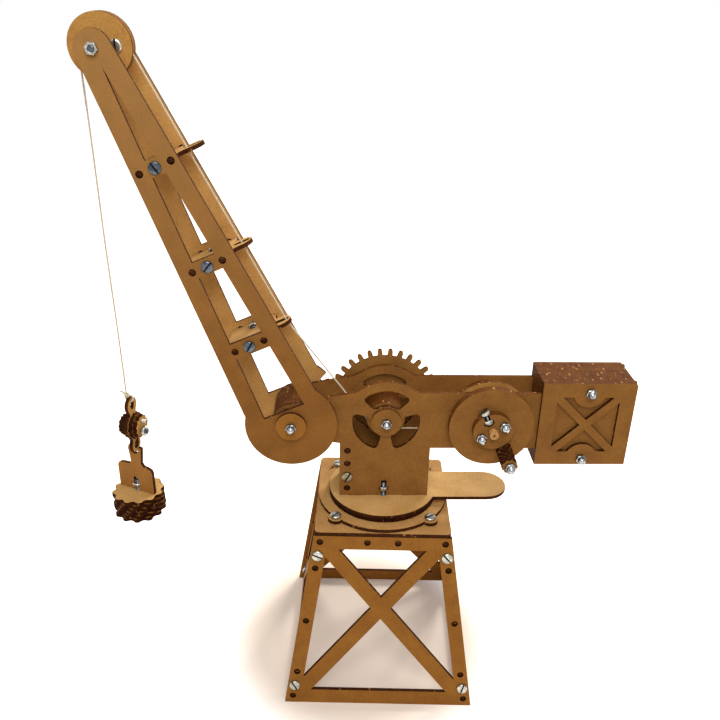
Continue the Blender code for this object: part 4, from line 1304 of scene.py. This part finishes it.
def mark_facets(mesh: bpy.types.Mesh, normal: Vector, crest: float) -> None:
    """Sorts a board's facets into face, edge and paler top edge, the last partly painted top
    light.

    Args:
        mesh: The board.
        normal: The direction across it.
        crest: The height above which an upward edge is toasted, and lit by painted top light, in
            metres.
    """
    marks = []
    for polygon in mesh.polygons:
        if abs(polygon.normal.dot(normal)) > 0.9:
            marks.append(0)
        else:
            # Upward edges near the top take the paler toasted finish, partly painted top light.
            marks.append(2 if polygon.center.z > crest and polygon.normal.z > 0 else 1)
    mesh.polygons.foreach_set("material_index", marks)
    mesh.update()


@dataclass(frozen=True)
class Boards:
    """Gives each board its face and edge finishes."""

    finishes: Finishes

    def paint(self, node: str, *looks: Look) -> Piece:
        """Sets a node's materials.

        Args:
            node: The node's name.
            *looks: Its materials.

        Returns:
            The node's object.
        """
        found = frame["nodes"][node]
        found.data.materials.clear()
        for look in looks:
            found.data.materials.append(look)
        return found

    def dress(
        self, node: str, normal: Vector, face: Look, edge: Look, crest_mm: float = 0.0
    ) -> None:
        """Sets one board's materials by which way each facet looks.

        Args:
            node: The board's name.
            normal: The direction across the board.
            face: The finish of its two faces.
            edge: The finish of its cut edges.
            crest_mm: How far down from its top the edges are only toasted, a paler finish that
                paints top light on upward edges.
        """
        board = self.paint(node, face, edge, self.finishes.toast_and_toplight_y)
        mark_facets(board.data, normal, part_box(node)[1].z - crest_mm * MM)

    def dress_all(self) -> None:
        """Dresses every board of the frame."""
        made = self.finishes
        up, deep, side = Vector(UP), Vector(FAR), Vector(RIGHT)
        along = JIB_FRAME.to_3x3() @ up
        across, rise = math.cos(TOWER_LEAN), math.sin(TOWER_LEAN)
        for name, out in (("front", NEAR), ("back", FAR), ("left", LEFT), ("right", RIGHT)):
            normal = TOWER_FRAME.to_3x3() @ (across * Vector(out) + rise * up)
            wide = name in ("front", "back")
            looks = (made.upright, made.edge_y) if wide else (made.side, made.edge_x)
            self.dress(f"tower_{name}_panel", normal, *looks)
        for name in ("front", "back"):
            self.dress(f"turret_{name}_plate", deep, made.turret, made.edge_y, 14.0)
        rows = (
            ("turntable_handle", up, made.pale, made.edge_z),
            ("tower_shelf_plate tower_top_plate", up, made.level, made.edge_z),
            ("turntable_ring turntable_rotor", up, made.level, made.edge_z),
            ("turntable_disc", up, made.rim_z, made.rim_z),
            ("arm_spacer_drum center_washer_front center_roller", deep, made.turret, made.toast_and_toplight_y),
            ("winch_drum winch_spacer_washer crank_disc", deep, made.turret, made.toast_and_toplight_y),
            ("crank_hub pulley_core counterweight_core", deep, made.turret, made.toast_and_toplight_y),
            ("jib_spacer_front jib_spacer_back", deep, made.upright, made.edge_y),
            ("jib_washer_front jib_washer_back", deep, made.upright, made.edge_y),
            ("head_spacer_front head_spacer_back", deep, made.upright, made.edge_y),
            ("pulley_front_flange pulley_back_flange", deep, made.high, made.toast_and_toplight_y),
            ("winch_front_flange winch_back_flange", deep, made.high, made.toast_and_toplight_y),
            ("jib_front_plate", deep, made.jib_front, made.edge_y),
            ("jib_back_plate", deep, made.jib_back, made.edge_y),
            ("luff_gear luff_gear_hub", deep, made.gear, made.toast_and_toplight_y),
            ("turret_cross_wall", side, made.upright, made.edge_x),
            ("hook_plate", HOOK_FRAME.to_3x3() @ side, made.high, made.edge_x),
            ("jib_eye_plate_lower jib_eye_plate_middle", along, made.pale, made.edge_jib),
            ("jib_eye_plate_upper", along, made.pale, made.edge_jib),
            ("load_plate", LOAD_FRAME.to_3x3() @ deep, made.side, made.edge_y),
        )
        for nodes, *looks in rows:
            for node in nodes.split():
                self.dress(node, *looks)
        self.paint("winch_axle", made.beech)
        self.paint("slew_pivot_bolt", made.zinc)
        LOG.info("boards dressed: %d", len(frame["nodes"]))


@dataclass(frozen=True)
class StringRig:
    """The string, from the winding on the drum to the knot at the hook."""

    look: Look
    radius: float = 0.62
    sides: int = 12
    step: float = 0.7
    lay: float = 4.2
    bend: float = 14.5
    head_bend: float = 14.0
    turns: int = 6
    turn_pitch: float = 1.35
    first_turn: float = -3.9
    eye: tuple[float, float] = (67.7, 26.6)
    fall_top_x: float = -191.8
    fall_foot: tuple[float, float] = (-188.9, 85.3)
    ring: Point = (-187.0, 0.0, 83.6)
    ring_radius: float = 2.35

    def tube(self, path: Sequence[Vector], swell: float = 1.0) -> Mesh:
        """Sweeps three twisted plies along a path.

        Args:
            path: The string's middle line.
            swell: How much thicker than the taut string it is.

        Returns:
            The closed mesh, with each point's place between crest and valley as "ply".
        """
        points = self.evened(path)
        work = bmesh.new()
        station = work.verts.layers.int.new("station")
        ply = work.verts.layers.float.new("ply")
        loop = bmesh.ops.create_circle(work, cap_ends=False, segments=self.sides, radius=1.0)
        verts = loop["verts"]
        for k, vert in enumerate(verts):
            vert[station] = k
        first = edges = work.edges[:]
        side = (points[1] - points[0]).normalized().orthogonal().normalized()
        travelled = 0.0
        for k, point in enumerate(points):
            ahead = points[min(k + 1, len(points) - 1)] - points[max(k - 1, 0)]
            ahead.normalize()
            side = (side - ahead * side.dot(ahead)).normalized()
            across = ahead.cross(side)
            if k:
                travelled += (point - points[k - 1]).length
                verts, edges, _ = grow(work, edges)
            twist = math.tau * travelled / self.lay
            slub = 1.0 + 0.07 * math.sin(0.9 * travelled) * math.sin(0.37 * travelled)
            for vert in verts:
                turn = math.tau * vert[station] / self.sides
                crest = 0.5 + 0.5 * math.cos(3 * (turn - twist))
                reach = self.radius * swell * (0.76 + 0.24 * crest) * slub
                vert.co = point + (side * math.cos(turn) + across * math.sin(turn)) * reach
                vert[ply] = crest
        for end in (first, edges):
            bmesh.ops.edgeloop_fill(work, edges=end)
        bmesh.ops.recalc_face_normals(work, faces=work.faces)
        return work

    def evened(self, path: Sequence[Vector]) -> list[Vector]:
        """Spreads points evenly along a path.

        Args:
            path: Corner points of the middle line.

        Returns:
            Points about one step apart.
        """
        points = [Vector(path[0])]
        for start, end in zip(path, path[1:]):
            count = max(1, round((end - start).length / self.step))
            points += [start.lerp(end, (k + 1) / count) for k in range(count)]
        return points

    def arc(self, centre: Vector, radius: float, start: float, end: float) -> list[Vector]:
        """Points along an arc in the plane of the string.

        Args:
            centre: Its centre.
            radius: Its radius.
            start: The first angle in degrees.
            end: The last angle in degrees.

        Returns:
            The points, both ends included.
        """
        count = max(2, round(abs(math.radians(end - start)) * radius / self.step))
        turns = (start + (end - start) * k / count for k in range(count + 1))
        return [centre + polar(radius, turn) for turn in turns]

    def touch(self, point: Vector, centre: Vector, radius: float) -> float:
        """Finds where a line from a point touches a circle.

        Args:
            point: The point.
            centre: The circle's centre.
            radius: The circle's radius.

        Returns:
            The angle of the touching point, in degrees.
        """
        away = point - centre
        turn = math.atan2(away.z, away.x) + math.acos(radius / math.hypot(away.x, away.z))
        return math.degrees(turn)

    def cord(
        self,
        name: str,
        path: Sequence[Vector],
        placing: Matrix,
        body: Body | None,
        node: str | None,
    ) -> Piece:
        """Args:
            name: The run's name.
            path: Its middle line.
            placing: From the path's frame to this script's.
            body: What it rides on, or None, which leaves it on no body.
            node: The node that it replaces, if any.

        Returns:
            The run.
        """
        points = [ROW @ placing @ point for point in self.evened(path)]
        work = self.tube(path)
        made = add_piece(name, work, placing, [self.look], body, node, 80.0)
        return made

    def build(self) -> None:
        """Adds the winding, the two taut runs, the hanging run and the knot."""
        path = []
        for k in range(self.turns * 60 + 1):
            along = self.first_turn + self.turn_pitch * k / 60
            path.append(polar(self.bend, -90 + 6.0 * k, along))
        self.cord("string_winding", path, WINCH_FRAME, Body.WINCH, None)
        self.lower_run()
        self.jib_run()
        self.fall()

    def lower_run(self) -> None:
        """Adds the run from the drum under the roller to the lowest eye."""
        level, aside = self.eye
        pivot, axle = Vector((PIVOT_X, 0, AXIS_Z)), Vector((0, 0, AXIS_Z))
        eye = pivot + polar(level, JIB_REST_DEG) + polar(aside, JIB_REST_DEG - 90)
        path = [Vector((WINCH_X - 0.6, 0, AXIS_Z - self.bend))]
        path += self.arc(axle, self.bend, 270, self.touch(eye, axle, self.bend) % 360)
        path.append(eye)
        made = self.cord("string_to_jib", path, TURRET_FRAME, None, "string_lower_run")
        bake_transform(made)

    def jib_run(self) -> None:
        """Adds the run up the jib and over the head pulley."""
        level, aside = self.eye
        head = Vector((0, 0, JIB_LENGTH))
        start = self.touch(Vector((aside, 0, level + 0.8)), head, self.head_bend)
        path = [Vector((aside, 0, level))]
        path += self.arc(head, self.head_bend, start, 177.5 - (JIB_REST_DEG - 90))
        self.cord("string_up_jib", path, JIB_FRAME, Body.JIB, "string_jib_run")

    def fall(self) -> None:
        """Adds the hanging run with its knot at the hook's eye."""
        top_z = AXIS_Z + JIB_LENGTH * math.sin(math.radians(JIB_REST_DEG))
        foot_x, foot_z = self.fall_foot
        top = Vector((self.fall_top_x, 0, top_z - 0.6))
        foot = Vector((foot_x, 0, foot_z + 1.6))
        path = []
        for share in (k / 48 for k in range(49)):
            wave = 0.16 * math.sin(9.0 * share) * math.sin(math.pi * share)
            path.append(top.lerp(foot, share) + Vector((wave, 0.7 * wave, 0)))
        knot, node = self.knot(foot), "string_fall"
        made = self.cord("string_fall_line", path, TURRET_FRAME, None, node)
        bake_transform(made)

    def knot(self, foot: Vector) -> Piece:
        """Ties the string's end through the eye, with a short frayed tail.

        Args:
            foot: Where the hanging run ends.

        Returns:
            The knot.
        """
        loop, wraps = [], []
        for k in range(41):
            across = 0.9 * math.sin(math.tau * k / 40)
            around = polar(self.ring_radius, 150 - 345.0 * k / 40, across)
            loop.append(Vector(self.ring) + around)
        middle = foot + Vector((0.05, 0, -0.6))
        for share in (k / 60 for k in range(61)):
            turn, reach = math.tau * 2.6 * share, 1.15 - 0.1 * share
            spot = (reach * math.cos(turn), reach * math.sin(turn), 1.4 - 3.2 * share)
            wraps.append(middle + Vector(spot))
        ends = ((-0.6, -0.6, 0.9), (-1.3, -0.9, 2.2), (-2.2, -1.0, 3.2), (-3.1, -1.1, 3.6))
        tail = [middle + Vector(spot) for spot in (*ends, (-4.1, -1.1, 3.5))]
        work = joined(self.tube(path, 1.1) for path in (loop, wraps, tail))
        looks = [self.look]
        return add_piece(
            "string_knot", work, TURRET_FRAME, looks, Body.HOOK, sharp_deg=80.0
        )


@dataclass(frozen=True)
class Studio:
    """The pale floor, the soft light and the camera at the photograph's angle."""

    eye: Point = (-37.2, -511.27, 362.61)
    pitch_deg: float = 25.76
    yaw_deg: float = 2.0
    roll_deg: float = 1.15
    lens: float = 39.51
    sensor: float = 36.0
    # The floor glows white for the camera, except close to the crane, where its shadow shows.
    glow_near: float = 0.08
    glow_far: float = 0.135
    glow_low: float = 0.12
    sky_low: float = 0.34

    def build(self) -> None:
        """Adds everything that isn't the crane."""
        self.floor()
        self.world()
        self.lamp("front", (0.0, -0.75, 0.95), (-0.05, 0.0, 0.28), 0.5, 5.5)
        self.lamp("overhead", (0.0, 0.0, 1.3), (0.0, 0.0, 0.25), 0.7, 4.0)
        self.lamp("behind", (0.6, 0.8, 1.1), (0.0, 0.0, 0.2), 0.4, 13.0)
        self.camera()
        bpy.context.scene.view_settings.view_transform = "Standard"

    def add(self, name: str, data: bpy.types.ID) -> Piece:
        """Adds an object to the scene.

        Args:
            name: The object's name.
            data: Its mesh, lamp or camera.

        Returns:
            The object.
        """
        made = bpy.data.objects.new(name, data)
        bpy.context.scene.collection.objects.link(made)
        return made

    def seen(self, tree: bpy.types.NodeTree) -> Socket:
        """Tells the rays of the camera, of a mirror and of a window from the rest.

        Args:
            tree: The node tree that asks.

        Returns:
            A value of 1 for those rays, 0 for the rest.
        """
        path = add_node(tree, "LightPath").outputs
        some = path["Is Camera Ray"]
        for ray in ("Is Glossy Ray", "Is Transmission Ray"):
            inputs = {0: some, 1: path[ray]}
            some = add_node(tree, "Math", inputs, operation="MAXIMUM").outputs[0]
        return some

    def floor(self) -> None:
        """Adds the floor: white where it is lit, pale warm grey in the crane's shadow."""
        work = bmesh.new()
        bmesh.ops.create_grid(work, x_segments=1, y_segments=1, size=3.0)
        mesh = bpy.data.meshes.new("studio_floor")
        work.to_mesh(mesh)
        work.free()
        look = Surface("paper_floor")
        inputs = {0: look.place}
        away = add_node(look.tree, "VectorMath", inputs, operation="LENGTH").outputs[1]
        inputs = {0: away, 1: self.glow_near, 2: self.glow_far, 3: self.glow_low, 4: 1.0}
        glow = add_node(look.tree, "MapRange", inputs, interpolation_type="SMOOTHSTEP")
        inputs = {
            "Base Color": linear_colour("#E6D3BF"),
            "Roughness": 0.9,
            "Specular IOR Level": 0.1,
            "Emission Color": linear_colour("#FFFFFF"),
            "Emission Strength": look.maths("MULTIPLY", self.seen(look.tree), glow.outputs[0]),
        }
        mesh.materials.append(look.finish(inputs))
        self.add("studio_floor", mesh)

    def world(self) -> None:
        """Sets an even sky that shows white."""
        world = bpy.data.worlds.new("studio")
        bpy.context.scene.world = world
        world.use_nodes = True
        tree = world.node_tree
        inputs = {0: self.seen(tree), 1: 0.0, 2: 1.0, 3: self.sky_low, 4: 1.0}
        strength = add_node(tree, "MapRange", inputs).outputs[0]
        inputs = {"Color": linear_colour("#FFFFFF"), "Strength": strength}
        set_inputs(tree, tree.nodes["Background"], inputs)

    def lamp(self, name: str, place: Point, target: Point, size: float, power: float) -> None:
        """Adds one soft square lamp.

        Args:
            name: The lamp's name.
            place: Where it is, in metres.
            target: What it is aimed at, in metres.
            size: Its side, in metres.
            power: Its power in watts.
        """
        data = bpy.data.lights.new(name, "AREA")
        data.shape = "SQUARE"
        data.size = size
        data.energy = power
        made = self.add(name, data)
        made.location = place
        made.rotation_mode = "QUATERNION"
        aim = Vector(target) - Vector(place)
        made.rotation_quaternion = aim.to_track_quat("-Z", "Y")

    def camera(self) -> None:
        """Sets the camera at the photograph's viewing angle."""
        pitch, yaw, roll = map(math.radians, (self.pitch_deg, self.yaw_deg, self.roll_deg))
        level, drop = math.cos(pitch), math.sin(pitch)
        ahead = Vector((math.sin(yaw) * level, math.cos(yaw) * level, -drop))
        across = Vector((math.cos(yaw), -math.sin(yaw), 0))
        above = across.cross(ahead)
        right = across * math.cos(roll) + above * math.sin(roll)
        up = above * math.cos(roll) - across * math.sin(roll)
        data = bpy.data.cameras.new("photo_camera")
        data.lens = self.lens
        data.sensor_width = self.sensor
        data.clip_start = 0.02
        data.clip_end = 20.0
        camera = self.add("photo_camera", data)
        turn = Matrix((right, up, -ahead)).transposed().to_4x4()
        camera.matrix_world = Matrix.Translation(ROW @ Vector(self.eye)) @ turn
        bpy.context.scene.camera = camera


def main() -> None:
    """Builds the crane's looks."""
    logging.basicConfig(level=logging.INFO, format="%(name)s: %(message)s")
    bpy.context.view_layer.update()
    Studio().build()
    finishes = Finishes()
    StringRig(finishes.twine).build()
    draw = random.Random(41)
    for assembly, own, body in (
        (Tower, TOWER_FRAME, Body.TOWER),
        (Turret, TURRET_FRAME, Body.TURRET),
        (Jib, JIB_FRAME, Body.JIB),
        (Winch, WINCH_FRAME, Body.WINCH),
        (HookBlock, HOOK_FRAME, Body.HOOK),
        (Load, LOAD_FRAME, Body.LOAD),
    ):
        assembly(Fasteners(finishes, draw, own, body)).build()
    Boards(finishes).dress_all()


if __name__ == "__main__":
    main()
